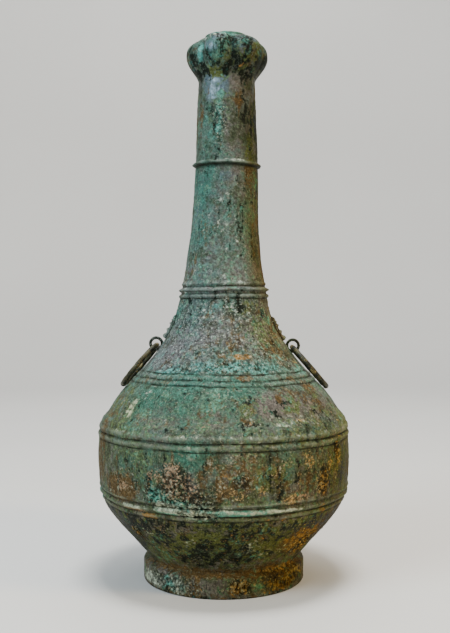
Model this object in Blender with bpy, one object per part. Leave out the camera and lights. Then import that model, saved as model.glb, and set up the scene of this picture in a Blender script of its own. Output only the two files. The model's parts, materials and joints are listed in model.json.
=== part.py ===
"""A bronze bottle vase with a garlic-shaped mouth, two beast masks and two loose ring handles.

The vase stands on its foot at the origin, +Z up, in metres. Its front looks towards -Y, and the masks
sit at -X and +X. The body is one hollow casting; each ring hangs loose in the loop of its mask.
"""
import math
from bisect import bisect_right
from collections import namedtuple

import bmesh
import bpy
from mathutils import Vector

# Foot: a hollow ring under the bowl, open below.
FOOT_RADIUS = 0.0622
FOOT_HEIGHT = 0.0155
FOOT_WALL = 0.0040
FOOT_EDGE = 0.0006
LEDGE_RISE = 0.0030
BOWL_START_RADIUS = 0.0575
RECESS_DEPTH = 0.0145
RECESS_CHAMFER = 0.0020
FLOOR_THICKNESS = 0.0035

# Body: heights of each stretch, from the ledge of the foot upwards.
WALL = 0.0025
BOWL_RISE = 0.0785
BELLY_RADIUS = 0.0972
SHOULDER_RISE = 0.1210
NECK_BASE_RADIUS = 0.0338
NECK_LENGTH = 0.1660
NECK_TOP_RADIUS = 0.0219
NECK_LEAN = 0.0020

# Garlic head and lip.
HEAD_RADIUS = 0.0317
HEAD_LOWER = 0.0195
HEAD_UPPER = 0.0130
CLOVES = 6
CLOVE_TURN = math.radians(7.0)
CLOVE_DEPTH = 0.0042
LIP_RADIUS = 0.0167
LIP_HEIGHT = 0.0035
LIP_EDGE = 0.0006
MOUTH_RADIUS = 0.0135

# Masks, loops and rings.
MASK_WIDTH = 0.0260
MASK_LIFT = 0.0062
MASK_RISE = 0.0190
MASK_RELIEF = 0.0030
MASK_ROOT = 0.0012
LOOP_BAR = 0.0023
LOOP_SEAT = 0.0006
LEFT_LOOP_DROP = 0.0393
RIGHT_LOOP_DROP = 0.0410
RING_DIAMETER = 0.0405
RING_WIRE = 0.0040
RING_PLAY = 0.0014
RING_GAP = 0.0003

# Facets.
CLOVE_COLUMNS = 7
HEAD_ROWS = (4, 5)
HOLLOW_ROWS = (2, 6, 3)
RING_SIDES = 32
WIRE_SIDES = 8
MASK_GRID = (14, 12)
LOOP_SIDES = 16
LOOP_BAR_SIDES = 6
SHARP_ANGLE = math.radians(40.0)

COLUMNS = CLOVES * CLOVE_COLUMNS

# Heights that follow from the sizes above.
BOWL_START = FOOT_HEIGHT + LEDGE_RISE
BELLY_HEIGHT = BOWL_START + BOWL_RISE
NECK_BASE = BELLY_HEIGHT + SHOULDER_RISE
HEAD_BASE = NECK_BASE + NECK_LENGTH
HEAD_WIDEST = HEAD_BASE + HEAD_LOWER
LIP_BASE = HEAD_WIDEST + HEAD_UPPER
VASE_HEIGHT = LIP_BASE + LIP_HEIGHT

# Sizes that follow from a wall or a wire: the corner of the floor, and the hole of a loop.
FLOOR_CORNER = 2 * WALL
LOOP_HOLE = 0.5 * RING_WIRE + RING_PLAY

# Each stretch's curve, as pairs: share of its height, share of the way from its lower to its upper radius.
BOWL_CURVE = ((0.18, 0.31), (0.40, 0.69), (0.53, 0.86), (0.65, 0.935), (0.80, 0.98))
SHOULDER_CURVE = ((0.12, 0.008), (0.225, 0.044), (0.27, 0.119), (0.38, 0.257), (0.48, 0.430), (0.56, 0.572),
                  (0.65, 0.716), (0.74, 0.831), (0.82, 0.904), (0.90, 0.958))
NECK_CURVE = ((0.08, 0.20), (0.19, 0.43), (0.36, 0.66), (0.60, 0.80), (0.80, 0.90))

# Powers that shape the garlic head: its S below, its arc above, and how its grooves come and go with height.
HEAD_S = 1.5
HEAD_ARC = 2.2
GROOVE_START = 0.8
GROOVE_END = 4

# The head's hollow, as shares: how high its top row is on the way to the bore, and how wide it is halfway
# down to the neck.
HOLLOW_TURN = 0.8
HOLLOW_THROAT = 0.45

# A rib is a low rounded ring around the wall: its height above a landmark, half its width, how far it is proud.
Rib = namedtuple("Rib", "height half_width proud")
NECK_RING = Rib(HEAD_BASE - 0.0645, 0.0017, 0.0023)
NECK_BASE_RIBS = (
    Rib(NECK_BASE + 0.0096, 0.0016, 0.0007),
    Rib(NECK_BASE + 0.0049, 0.0019, 0.0024),
    Rib(NECK_BASE + 0.0003, 0.0021, 0.0012),
)
SHOULDER_RIBS = (Rib(NECK_BASE - 0.0591, 0.0018, 0.0008), Rib(NECK_BASE - 0.0629, 0.0018, 0.0008))
BELLY_RIBS = (Rib(BELLY_HEIGHT + 0.0226, 0.0029, 0.0010), Rib(BELLY_HEIGHT + 0.0166, 0.0025, 0.0007))
LOWER_RIBS = (
    Rib(BELLY_HEIGHT - 0.0225, 0.0013, 0.0009),
    Rib(BELLY_HEIGHT - 0.0276, 0.0021, 0.0015),
    Rib(BELLY_HEIGHT - 0.0322, 0.0018, 0.0006),
)
RIBS = (NECK_RING,) + NECK_BASE_RIBS + SHOULDER_RIBS + BELLY_RIBS + LOWER_RIBS

# Outline of the beast mask, as shares of its half width and of its height: narrow at the snout, wide from the
# brow up, and notched at the top between two horns. Its edge slopes over a short distance on each side.
PLATE = 0.34
SNOUT_HALF_WIDTH = 0.42
BROW_HALF_WIDTH = 0.92
BROW_HEIGHT = 0.72
NOTCH_HEIGHT = 0.80
HORN_SPREAD = 0.9
EDGE_ACROSS = 0.10
EDGE_TOP = 0.09
EDGE_SNOUT = 0.06
SNOUT_OVERHANG = 0.02

# A form carved on the mask: how proud it is, its place across and up, and its half width and half height.
Form = namedtuple("Form", "proud across up half_width half_height")
EYE = Form(0.42, 0.40, 0.47, 0.21, 0.17)
BROW = Form(0.34, 0.42, 0.70, 0.46, 0.10)
HORN = Form(0.36, 0.66, 0.88, 0.22, 0.13)
CREST = Form(0.50, 0.0, 0.78, 0.17, 0.18)
NOSTRIL = Form(0.30, 0.24, 0.12, 0.18, 0.13)
BROW_SLANT = 0.2
BROW_PIVOT = 0.68

# The nose is a ridge up the middle, proudest at the snout, and lower above its bridge.
NOSE_AT_SNOUT = 0.66
NOSE_AT_TOP = 0.32
NOSE_HALF_WIDTH = 0.22
NOSE_BRIDGE = 0.66
NOSE_ABOVE_BRIDGE = 0.3

# Where the wire rests in its loop, from the loop's middle: towards the wall, and down.
REST_INWARDS = 0.6
REST_DOWN = 0.8

# Colour and roughness of the two bronzes, and how metallic both are.
BODY_BRONZE = ((0.075, 0.145, 0.110, 1.0), 0.62)
RING_BRONZE = ((0.110, 0.100, 0.055, 1.0), 0.50)
METALLIC = 0.6


def stretch(low, high, curve):
    """Stations (height, radius) of one stretch of wall between two of its ends."""
    inner = [(low[0] + share * (high[0] - low[0]), low[1] + turn * (high[1] - low[1])) for share, turn in curve]
    return [low] + inner


BOWL_FOOT = (BOWL_START, BOWL_START_RADIUS)
BELLY = (BELLY_HEIGHT, BELLY_RADIUS)
NECK_FOOT = (NECK_BASE, NECK_BASE_RADIUS)
NECK_TOP = (HEAD_BASE, NECK_TOP_RADIUS)
STATIONS = (stretch(BOWL_FOOT, BELLY, BOWL_CURVE) + stretch(BELLY, NECK_FOOT, SHOULDER_CURVE)
            + stretch(NECK_FOOT, NECK_TOP, NECK_CURVE) + [NECK_TOP])


def station_slopes():
    """Slope of the wall at each station, flattened where it turns, so that the curve never overshoots."""
    steps = [(b[1] - a[1]) / (b[0] - a[0]) for a, b in zip(STATIONS, STATIONS[1:])]
    slopes = [steps[0]]
    for before, after in zip(steps, steps[1:]):
        turning = before * after <= 0.0
        slopes.append(0.0 if turning else 2.0 * before * after / (before + after))
    return slopes + [steps[-1]]


SLOPES = station_slopes()
HEIGHTS = [height for height, radius in STATIONS]


def wall_radius(z):
    """Outer radius of the plain wall at a height between the bowl's foot and the head."""
    span = min(max(bisect_right(HEIGHTS, z) - 1, 0), len(STATIONS) - 2)
    (z0, r0), (z1, r1) = STATIONS[span], STATIONS[span + 1]
    width = z1 - z0
    t = min(max((z - z0) / width, 0.0), 1.0)
    return (r0 * (1 + 2 * t) * (1 - t) ** 2 + SLOPES[span] * width * t * (1 - t) ** 2
            + r1 * t * t * (3 - 2 * t) - SLOPES[span + 1] * width * t * t * (1 - t))


def wall_slope(z):
    """How fast the plain wall's radius grows with height."""
    step = 0.0005
    return (wall_radius(z + step) - wall_radius(z - step)) / (2 * step)


def rib_relief(z):
    """How far the ribs stand proud of the plain wall at a height."""
    relief = 0.0
    for rib in RIBS:
        share = abs(z - rib.height) / rib.half_width
        if share < 1.0:
            relief += rib.proud * math.cos(0.5 * math.pi * share) ** 2
    return relief


def head_radius(z, widest, top):
    """Radius of the garlic head along the middle of a clove: an S below its widest place, an arc above."""
    if z <= HEAD_WIDEST:
        share = (HEAD_WIDEST - z) / HEAD_LOWER
        fullness = max(math.cos(0.5 * math.pi * share), 0.0) ** HEAD_S
        return NECK_TOP_RADIUS + (widest - NECK_TOP_RADIUS) * fullness
    share = min((z - HEAD_WIDEST) / (top - HEAD_WIDEST), 1.0)
    return LIP_RADIUS + (widest - LIP_RADIUS) * (1.0 - share ** HEAD_ARC) ** (1 / HEAD_ARC)


def clove_share(z):
    """How deep the grooves between the cloves are at a height, from 0 at the neck and the lip to 1."""
    if z <= HEAD_BASE or z >= LIP_BASE:
        return 0.0
    if z <= HEAD_WIDEST:
        return math.sin(0.5 * math.pi * (z - HEAD_BASE) / HEAD_LOWER) ** GROOVE_START
    return max(1.0 - ((z - HEAD_WIDEST) / HEAD_UPPER) ** GROOVE_END, 0.0)


def lobed(radius, share, angle):
    """Radius at an angle around the head: each clove is an arc, and neighbours meet in a groove."""
    half = math.pi / CLOVES
    across = (angle - CLOVE_TURN) % (2 * half) - half
    # The arc's centre is set out from the axis until the groove is as deep as it should be.
    depth = CLOVE_DEPTH * share * radius / HEAD_RADIUS
    groove = radius - depth
    centre = (radius ** 2 - groove ** 2) / (2 * (radius - groove * math.cos(half))) if depth > 0 else 0.0
    return centre * math.cos(across) + math.sqrt((radius - centre) ** 2 - (centre * math.sin(across)) ** 2)


def lean(z):
    """Sideways shift of the axis: the neck leans a little to the right."""
    share = min(max((z - NECK_BASE) / (0.7 * NECK_LENGTH), 0.0), 1.0)
    return NECK_LEAN * share * share * (3 - 2 * share)


def spread(low, high, count):
    """Evenly spaced heights from low up to high, without high itself."""
    return [low + (high - low) * i / count for i in range(count)]


def wall_heights():
    """Heights of the outer rows between bowl and head: three to a rib, and one at each station in between."""
    heights = set()
    for rib in RIBS:
        heights.update((rib.height - rib.half_width, rib.height, rib.height + rib.half_width))
    closest = 0.5 * min(rib.half_width for rib in RIBS)
    heights.update(z for z in HEIGHTS if all(abs(z - other) > 4 * closest for other in heights))
    rows = []
    for z in sorted(heights):
        if not rows or z - rows[-1] > closest:
            rows.append(z)
    return [BOWL_START] + [z for z in rows if BOWL_START + closest < z < HEAD_BASE - closest]


# A row is one ring of the body's surface: its radius, its height and how deep its clove grooves are.
Row = namedtuple("Row", "radius z cloves")


def foot_rows():
    """From under the floor, down inside the foot, across its standing face and up its outside."""
    inner = FOOT_RADIUS - FOOT_WALL
    return [
        Row(inner - RECESS_CHAMFER, RECESS_DEPTH, 0.0),
        Row(inner, RECESS_DEPTH - RECESS_CHAMFER, 0.0),
        Row(inner, FOOT_EDGE, 0.0),
        Row(inner + FOOT_EDGE, 0.0, 0.0),
        Row(FOOT_RADIUS - FOOT_EDGE, 0.0, 0.0),
        Row(FOOT_RADIUS, FOOT_EDGE, 0.0),
        Row(FOOT_RADIUS, FOOT_HEIGHT - FOOT_EDGE, 0.0),
        Row(FOOT_RADIUS - FOOT_EDGE, FOOT_HEIGHT, 0.0),
    ]


def head_rows():
    """The garlic head from the neck up to the lip."""
    below, above = HEAD_ROWS
    heights = spread(HEAD_BASE, HEAD_WIDEST, below)
    heights += [HEAD_WIDEST + HEAD_UPPER * math.sin(0.5 * math.pi * i / above) for i in range(above)]
    return [Row(head_radius(z, HEAD_RADIUS, LIP_BASE), z, clove_share(z)) for z in heights]


def lip_rows():
    """The plain collar around the mouth, and the top of the bore."""
    return [
        Row(LIP_RADIUS, LIP_BASE, 0.0),
        Row(LIP_RADIUS, VASE_HEIGHT - LIP_EDGE, 0.0),
        Row(LIP_RADIUS - LIP_EDGE, VASE_HEIGHT, 0.0),
        Row(MOUTH_RADIUS + LIP_EDGE, VASE_HEIGHT, 0.0),
        Row(MOUTH_RADIUS, VASE_HEIGHT - LIP_EDGE, 0.0),
        Row(MOUTH_RADIUS, LIP_BASE - WALL, 0.0),
    ]


def inner_radius(z):
    """Radius of the hollow behind the plain wall, with the wall's thickness measured square to it."""
    return wall_radius(z) - WALL * math.sqrt(1.0 + wall_slope(z) ** 2)


def hollow_rows():
    """From the bore down to the middle of the floor: a round hollow behind the cloves, then the wall's own."""
    hollow_top = LIP_BASE - WALL
    hollow_widest = HEAD_RADIUS - CLOVE_DEPTH - WALL
    rows = []
    for share in (HOLLOW_TURN, 0.0):
        z = HEAD_WIDEST + share * (hollow_top - HEAD_WIDEST)
        arc = math.sqrt(1.0 - share * share)
        rows.append(Row(MOUTH_RADIUS + (hollow_widest - MOUTH_RADIUS) * arc, z, 0.0))
    bore = inner_radius(HEAD_BASE)
    rows.append(Row(bore + HOLLOW_THROAT * (hollow_widest - bore), HEAD_WIDEST - 0.5 * HEAD_LOWER, 0.0))
    floor_top = RECESS_DEPTH + FLOOR_THICKNESS
    bowl_low = BOWL_START + FLOOR_CORNER
    neck, shoulder, bowl = HOLLOW_ROWS
    heights = (spread(HEAD_BASE, NECK_BASE, neck) + spread(NECK_BASE, BELLY_HEIGHT, shoulder)
               + spread(BELLY_HEIGHT, bowl_low, bowl) + [bowl_low])
    rows += [Row(inner_radius(z), z, 0.0) for z in heights]
    rows.append(Row(BOWL_START_RADIUS - FLOOR_CORNER, floor_top, 0.0))
    return rows


def new_material(name, colour, roughness):
    material = bpy.data.materials.new(name)
    material.use_nodes = True
    shader = material.node_tree.nodes["Principled BSDF"]
    shader.inputs["Base Color"].default_value = colour
    shader.inputs["Roughness"].default_value = roughness
    shader.inputs["Metallic"].default_value = METALLIC
    return material


def new_object(name, mesh, material):
    thing = bpy.data.objects.new(name, mesh)
    bpy.context.collection.objects.link(thing)
    if material:
        mesh.materials.append(material)
    mesh.shade_smooth()
    mesh.set_sharp_from_angle(angle=SHARP_ANGLE)
    return thing


def mesh_from(bm, name):
    mesh = bpy.data.meshes.new(name)
    bm.to_mesh(mesh)
    bm.free()
    return mesh


def body_mesh():
    """The casting as rings of vertices joined row to row, closed at the middle of the floor's two faces."""
    rows = (foot_rows() + [Row(wall_radius(z) + rib_relief(z), z, 0.0) for z in wall_heights()]
            + head_rows() + lip_rows() + hollow_rows())
    bm = bmesh.new()
    rings = []
    for row in rows:
        ring = []
        for i in range(COLUMNS):
            angle = CLOVE_TURN + 2 * math.pi * i / COLUMNS
            radius = lobed(row.radius, row.cloves, angle)
            # Angle 0 is the front, at -Y, and it grows towards +X.
            ring.append(bm.verts.new((radius * math.sin(angle) + lean(row.z), -radius * math.cos(angle), row.z)))
        rings.append(ring)
    for lower, upper in zip(rings, rings[1:]):
        for i in range(COLUMNS):
            j = (i + 1) % COLUMNS
            bm.faces.new((lower[i], lower[j], upper[j], upper[i]))
    under = bm.verts.new((0.0, 0.0, RECESS_DEPTH))
    floor = bm.verts.new((0.0, 0.0, RECESS_DEPTH + FLOOR_THICKNESS))
    for i in range(COLUMNS):
        j = (i + 1) % COLUMNS
        bm.faces.new((under, rings[0][j], rings[0][i]))
        bm.faces.new((floor, rings[-1][i], rings[-1][j]))
    return mesh_from(bm, "vase_body")


def round_top(distance):
    """1 in the middle of a carved form, falling to 0 at its edge, where the distance is 1."""
    return math.cos(0.5 * math.pi * distance) ** 2 if distance < 1.0 else 0.0


def carved(form, u, v):
    """Height of one carved form at a place on the mask."""
    distance = math.hypot((u - form.across) / form.half_width, (v - form.up) / form.half_height)
    return form.proud * round_top(distance)


def nose_relief(side, v):
    """Height of the nose, which runs up the middle of the mask."""
    proud = NOSE_AT_TOP + (NOSE_AT_SNOUT - NOSE_AT_TOP) * (1.0 - v)
    return proud * round_top(side / NOSE_HALF_WIDTH) * (1.0 if v < NOSE_BRIDGE else NOSE_ABOVE_BRIDGE)


def mask_relief(u, v):
    """Height of the beast mask, as a share of its relief: u from -1 to 1 across, v from 0 at the snout to 1."""
    side = abs(u)
    widening = math.sin(0.5 * math.pi * min(v / BROW_HEIGHT, 1.0))
    half_width = SNOUT_HALF_WIDTH + (BROW_HALF_WIDTH - SNOUT_HALF_WIDTH) * widening
    top = NOTCH_HEIGHT + (1.0 - NOTCH_HEIGHT) * math.sin(math.pi * min(side / HORN_SPREAD, 1.0))
    inside = min((half_width - side) / EDGE_ACROSS, (top - v) / EDGE_TOP, (v + SNOUT_OVERHANG) / EDGE_SNOUT)
    plate = min(max(inside, -1.0), 1.0) * PLATE
    brow = carved(BROW, side - BROW_SLANT * (v - BROW_PIVOT), v)
    forms = sum(carved(form, side, v) for form in (EYE, HORN, CREST, NOSTRIL))
    return plate + brow + forms + nose_relief(side, v)


def mask_point(side, loop_height, u, v, proud):
    """A point over the wall: u, v on the mask, and how far it is off the wall, square to the wall."""
    z = loop_height + MASK_LIFT + MASK_RISE * v
    radius = wall_radius(z)
    across = u * 0.5 * MASK_WIDTH / radius
    slope = wall_slope(z)
    tilt = math.sqrt(1.0 + slope * slope)
    radius += proud / tilt
    return Vector((side * radius * math.cos(across), side * radius * math.sin(across), z - proud * slope / tilt))


def mask_mesh(side, loop_height):
    """The mask as a carved front and a plain back, which is rooted in the wall."""
    across, up = MASK_GRID
    bm = bmesh.new()
    front, back = [], []
    for j in range(up + 1):
        v = j / up
        front.append([])
        back.append([])
        for i in range(across + 1):
            u = 2.0 * i / across - 1.0
            proud = MASK_RELIEF * mask_relief(u, v)
            front[j].append(bm.verts.new(mask_point(side, loop_height, u, v, proud)))
            back[j].append(bm.verts.new(mask_point(side, loop_height, u, v, -MASK_ROOT - PLATE * MASK_RELIEF)))
    for j in range(up):
        for i in range(across):
            bm.faces.new((front[j][i], front[j][i + 1], front[j + 1][i + 1], front[j + 1][i]))
            bm.faces.new((back[j][i], back[j + 1][i], back[j + 1][i + 1], back[j][i + 1]))
    for i in range(across):
        bm.faces.new((front[0][i + 1], front[0][i], back[0][i], back[0][i + 1]))
        bm.faces.new((front[up][i], front[up][i + 1], back[up][i + 1], back[up][i]))
    for j in range(up):
        bm.faces.new((front[j][0], front[j + 1][0], back[j + 1][0], back[j][0]))
        bm.faces.new((front[j + 1][across], front[j][across], back[j][across], back[j + 1][across]))
    return mesh_from(bm, "mask")


def torus_mesh(name, centre, major, minor, major_sides, minor_sides):
    """A ring of round wire whose axis is along Y, with its centre at a place in its object."""
    bm = bmesh.new()
    loops = []
    for i in range(major_sides):
        turn = 2 * math.pi * i / major_sides
        out = Vector((math.cos(turn), 0.0, math.sin(turn)))
        loops.append([])
        for j in range(minor_sides):
            roll = 2 * math.pi * (j + 0.5) / minor_sides
            point = out * (major + minor * math.cos(roll)) + Vector((0.0, minor * math.sin(roll), 0.0))
            loops[i].append(bm.verts.new(Vector(centre) + point))
    for i in range(major_sides):
        k = (i + 1) % major_sides
        for j in range(minor_sides):
            m = (j + 1) % minor_sides
            bm.faces.new((loops[i][j], loops[i][m], loops[k][m], loops[k][j]))
    return mesh_from(bm, name)


def wall_normal(side, z):
    """Direction straight out of the wall at a height, on the left or the right of the vase."""
    slope = wall_slope(z)
    return Vector((side, 0.0, -slope)).normalized()


def loop_centre(side, loop_height):
    """Centre of the loop's hole: the hole just clears the wall, and the bar behind it is sunk in the wall."""
    foot = Vector((side * wall_radius(loop_height), 0.0, loop_height))
    return foot + wall_normal(side, loop_height) * (LOOP_HOLE + LOOP_SEAT)


def ring_pivot(side, loop_height):
    """Where the ring's wire hangs in the hole: low, and on the side of the wall."""
    play = RING_PLAY - RING_GAP
    return loop_centre(side, loop_height) + Vector((-REST_INWARDS * side * play, 0.0, -REST_DOWN * play))


def ring_clearance(pivot, side, drop):
    """Smallest distance between the wire and the wall when the ring hangs at an angle below level."""
    radius = 0.5 * RING_DIAMETER
    out = Vector((side * math.cos(drop), 0.0, -math.sin(drop)))
    closest = math.inf
    for i in range(RING_SIDES + 1):
        turn = math.pi * i / RING_SIDES
        point = pivot + out * radius * (1 - math.cos(turn)) + Vector((0.0, radius * math.sin(turn), 0.0))
        slope = wall_slope(point.z)
        off = math.hypot(point.x, point.y) - wall_radius(point.z) - rib_relief(point.z)
        closest = min(closest, off / math.sqrt(1.0 + slope * slope) - 0.5 * RING_WIRE)
    return closest


def ring_drop(pivot, side):
    """The steepest angle below level at which the ring still clears the shoulder, found by halving."""
    shallow, steep = 0.0, 0.5 * math.pi
    halvings = 40
    for _ in range(halvings):
        middle = 0.5 * (shallow + steep)
        if ring_clearance(pivot, side, middle) > RING_GAP:
            shallow = middle
        else:
            steep = middle
    return shallow


def build_ring(name, side, loop_height, material):
    """A ring handle whose origin is on its hinge line, inside the loop, lying on the shoulder."""
    pivot = ring_pivot(side, loop_height)
    drop = ring_drop(pivot, side)
    mesh = torus_mesh(name, (0.0, 0.0, 0.0), 0.5 * RING_DIAMETER, 0.5 * RING_WIRE, RING_SIDES, WIRE_SIDES)
    for vertex in mesh.vertices:
        # The ring is turned flat, with its near end at the origin and its far end at +X.
        x, y, z = vertex.co
        vertex.co = (x + 0.5 * RING_DIAMETER, z, -y)
    ring = new_object(name, mesh, material)
    ring.location = pivot
    ring.rotation_euler = (0.0, drop if side > 0 else math.pi - drop, 0.0)
    return ring


def add_to_body(body, feature):
    """Cast a feature onto the body."""
    feature.hide_render = True
    feature.display_type = "WIRE"
    union = body.modifiers.new(feature.name, "BOOLEAN")
    union.operation = "UNION"
    union.solver = "EXACT"
    union.object = feature


def main():
    for thing in list(bpy.data.objects):
        bpy.data.objects.remove(thing, do_unlink=True)
    body_bronze = new_material("patinated_bronze", *BODY_BRONZE)
    ring_bronze = new_material("ring_bronze", *RING_BRONZE)
    body = new_object("vase_body", body_mesh(), body_bronze)
    for word, side, drop in (("left", -1, LEFT_LOOP_DROP), ("right", 1, RIGHT_LOOP_DROP)):
        loop_height = NECK_BASE - drop
        add_to_body(body, new_object(word + "_mask_form", mask_mesh(side, loop_height), None))
        loop = torus_mesh("loop", loop_centre(side, loop_height), LOOP_HOLE + 0.5 * LOOP_BAR, 0.5 * LOOP_BAR,
                          LOOP_SIDES, LOOP_BAR_SIDES)
        add_to_body(body, new_object(word + "_loop_form", loop, None))
        build_ring(word + "_ring_handle", side, loop_height, ring_bronze)


main()
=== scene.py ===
# %% [markdown]
# # A bronze bottle vase with a garlic-shaped mouth
#
# The real object is one hollow bronze casting, about 42 cm tall, that lay in the ground for two thousand
# years, with a loose bronze ring hanging at each shoulder. This lesson dresses its solid model: the
# body, the masks and the rings are modelled again with a finer surface, and each gets a patina made of
# nodes.
#
# The solid model comes first. It says where everything sits, so nothing below is moved or resized by
# eye.

# %% Load the frame
import json
import math
import random
from bisect import bisect_right

import bmesh
import bpy
import numpy as np
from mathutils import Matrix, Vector


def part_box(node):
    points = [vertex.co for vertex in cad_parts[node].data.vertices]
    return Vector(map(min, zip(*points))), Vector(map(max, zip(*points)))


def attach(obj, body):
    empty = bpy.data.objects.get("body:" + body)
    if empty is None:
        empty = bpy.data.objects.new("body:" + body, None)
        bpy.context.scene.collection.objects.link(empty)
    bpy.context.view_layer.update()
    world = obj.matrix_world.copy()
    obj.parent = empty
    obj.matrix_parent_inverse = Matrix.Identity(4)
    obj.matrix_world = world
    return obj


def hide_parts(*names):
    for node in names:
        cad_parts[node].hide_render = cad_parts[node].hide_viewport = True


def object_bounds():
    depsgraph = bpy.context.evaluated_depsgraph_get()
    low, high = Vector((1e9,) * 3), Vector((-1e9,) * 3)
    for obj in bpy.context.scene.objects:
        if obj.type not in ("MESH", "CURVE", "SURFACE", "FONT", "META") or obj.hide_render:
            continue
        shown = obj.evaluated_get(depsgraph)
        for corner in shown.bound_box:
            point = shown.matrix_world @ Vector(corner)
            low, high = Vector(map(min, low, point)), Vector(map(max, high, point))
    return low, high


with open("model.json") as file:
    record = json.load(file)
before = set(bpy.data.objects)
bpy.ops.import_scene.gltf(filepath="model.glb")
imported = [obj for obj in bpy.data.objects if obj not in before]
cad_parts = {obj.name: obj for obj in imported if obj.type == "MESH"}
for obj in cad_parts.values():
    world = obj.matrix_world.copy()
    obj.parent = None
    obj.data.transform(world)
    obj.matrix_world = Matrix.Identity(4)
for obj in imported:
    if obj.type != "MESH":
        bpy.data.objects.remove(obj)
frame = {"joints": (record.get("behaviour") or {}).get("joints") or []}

MM = 0.001
cad_low, cad_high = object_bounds()
print("the solid model reaches from", [round(v, 4) for v in cad_low], "to", [round(v, 4) for v in cad_high])

# %% [markdown]
# ## The camera
#
# A photograph fixes four things: how far away the camera stood, how high it was, how far it was tipped
# and how long its lens was. The ellipses of the foot and of the bands are flat near the camera's own
# height and open up away from it. That places the camera at about half the vase's height, and close: two
# thirds of a metre away.

# %% Camera
PHOTO_HEIGHT = 633
FOCAL_PIXELS = 880.0
CAMERA_DISTANCE = 0.689
CAMERA_HEIGHT = 0.2106
CAMERA_SIDE = 0.0010
CAMERA_TIP = math.radians(0.7)

camera_data = bpy.data.cameras.new("photo_camera")
camera_data.sensor_width = 36.0
camera_data.lens = FOCAL_PIXELS / PHOTO_HEIGHT * camera_data.sensor_width
camera = bpy.data.objects.new("photo_camera", camera_data)
bpy.context.scene.collection.objects.link(camera)
camera.location = (CAMERA_SIDE, -CAMERA_DISTANCE, CAMERA_HEIGHT)
camera.rotation_euler = (math.radians(90.0) - CAMERA_TIP, 0.0, 0.0)
bpy.context.scene.camera = camera
print("the lens is", round(camera_data.lens, 1), "mm on a", camera_data.sensor_width, "mm frame")

# %% [markdown]
# ## Hands for the work
#
# Every piece below is made as in Blender's own window: add a primitive, go into edit mode, select,
# extrude, spin, and leave edit mode. These few helpers save writing the same clicks again.

# %% Helpers for modelling


def only(piece):
    """Make one object the selected and active one, in object mode."""
    if bpy.context.object and bpy.context.object.mode != "OBJECT":
        bpy.ops.object.mode_set(mode="OBJECT")
    bpy.ops.object.select_all(action="DESELECT")
    piece.select_set(True)
    bpy.context.view_layer.objects.active = piece
    return piece


def added(name):
    """The object that an operator has just made, under its own name."""
    piece = bpy.context.object
    piece.name = name
    piece.data.name = name
    return only(piece)


def apply_place(piece):
    """Put the object's place into its mesh, so that it sits at the origin, unturned and unscaled."""
    only(piece)
    bpy.ops.object.transform_apply(location=True, rotation=True, scale=True)
    return piece


def apply_modifiers(piece):
    only(piece)
    for modifier in list(piece.modifiers):
        bpy.ops.object.modifier_apply(modifier=modifier.name)


def shade_smooth_below(piece, degrees):
    """Shade the piece smooth, but keep every edge sharp that turns by more than this angle."""
    only(piece)
    bpy.ops.object.shade_smooth_by_angle(angle=math.radians(degrees))


def join_all(name, pieces):
    """Join the pieces into one object, which takes this name."""
    only(pieces[0])
    for piece in pieces[1:]:
        piece.select_set(True)
    bpy.ops.object.join()
    return added(name)


def points_of(piece):
    """The mesh's vertices as rows of x, y, z."""
    flat = np.zeros(3 * len(piece.data.vertices))
    piece.data.vertices.foreach_get("co", flat)
    return flat.reshape(-1, 3)


def set_points(piece, points):
    piece.data.vertices.foreach_set("co", points.ravel())
    piece.data.update()


def triangles(piece):
    return sum(len(face.vertices) - 2 for face in piece.data.polygons)


print("helpers ready")

# %% [markdown]
# ## The outline of the body
#
# The body is a turned form, so one half outline holds nearly all of its shape. Its plain wall is a
# smooth curve through a few stations, each a height and a radius in millimetres, from the foot to the
# underside of the head. The curve is flattened wherever it turns, so it never bulges past a station. The
# ribs are low rounded rings added to that wall, and each is set off by a narrow groove, which the
# material fills with painted shade.

# %% Stations, ribs and grooves
WALL_STATIONS = [
    (18.5, 57.5), (32.6, 69.8), (49.9, 84.9), (60.1, 91.6), (69.5, 94.6), (81.3, 96.4), (97.0, 97.2),
    (111.5, 96.7), (124.2, 94.4), (129.7, 89.7), (143.0, 80.9), (155.1, 69.9), (164.8, 60.9), (175.7, 51.8),
    (186.5, 44.5), (196.2, 39.9), (205.9, 36.5), (218.0, 33.8), (231.3, 31.4), (249.5, 28.7), (277.8, 25.9),
    (317.6, 24.4), (350.8, 23.3), (384.0, 22.2),
]
# Each rib: height, half its width, how far it is proud, how blunt its crest is.
RIBS = [
    # The ring on the neck, then the three ridges at the foot of the neck.
    (319.4, 2.2, 2.7, 1.25),
    (227.6, 1.6, 0.8, 1.5), (222.9, 1.9, 2.5, 1.3), (218.3, 2.0, 1.4, 1.6),
    # The bands of the shoulder, of the belly and of the bowl.
    (158.9, 1.9, 0.9, 1.2), (155.1, 1.7, 0.9, 1.2),
    (119.6, 2.8, 1.2, 1.5), (113.7, 2.3, 0.9, 1.3),
    (74.5, 1.4, 1.0, 1.2), (69.5, 2.1, 1.6, 1.4), (64.7, 1.6, 0.6, 1.0),
]
# Each groove: height, half its width, how deep it is.
GROOVES = [
    (317.8, 1.5, 0.5),
    (225.4, 0.7, 0.35), (220.5, 0.8, 0.9), (216.0, 0.7, 0.5),
    (161.1, 0.8, 0.5), (156.9, 0.7, 0.5), (153.2, 0.8, 0.5),
    (116.4, 0.9, 0.7), (111.0, 0.8, 0.6),
    (72.4, 0.8, 0.4), (66.8, 0.9, 0.8), (62.8, 0.8, 0.3),
]
HEIGHTS = [z * MM for z, r in WALL_STATIONS]
RADII = [r * MM for z, r in WALL_STATIONS]


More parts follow.
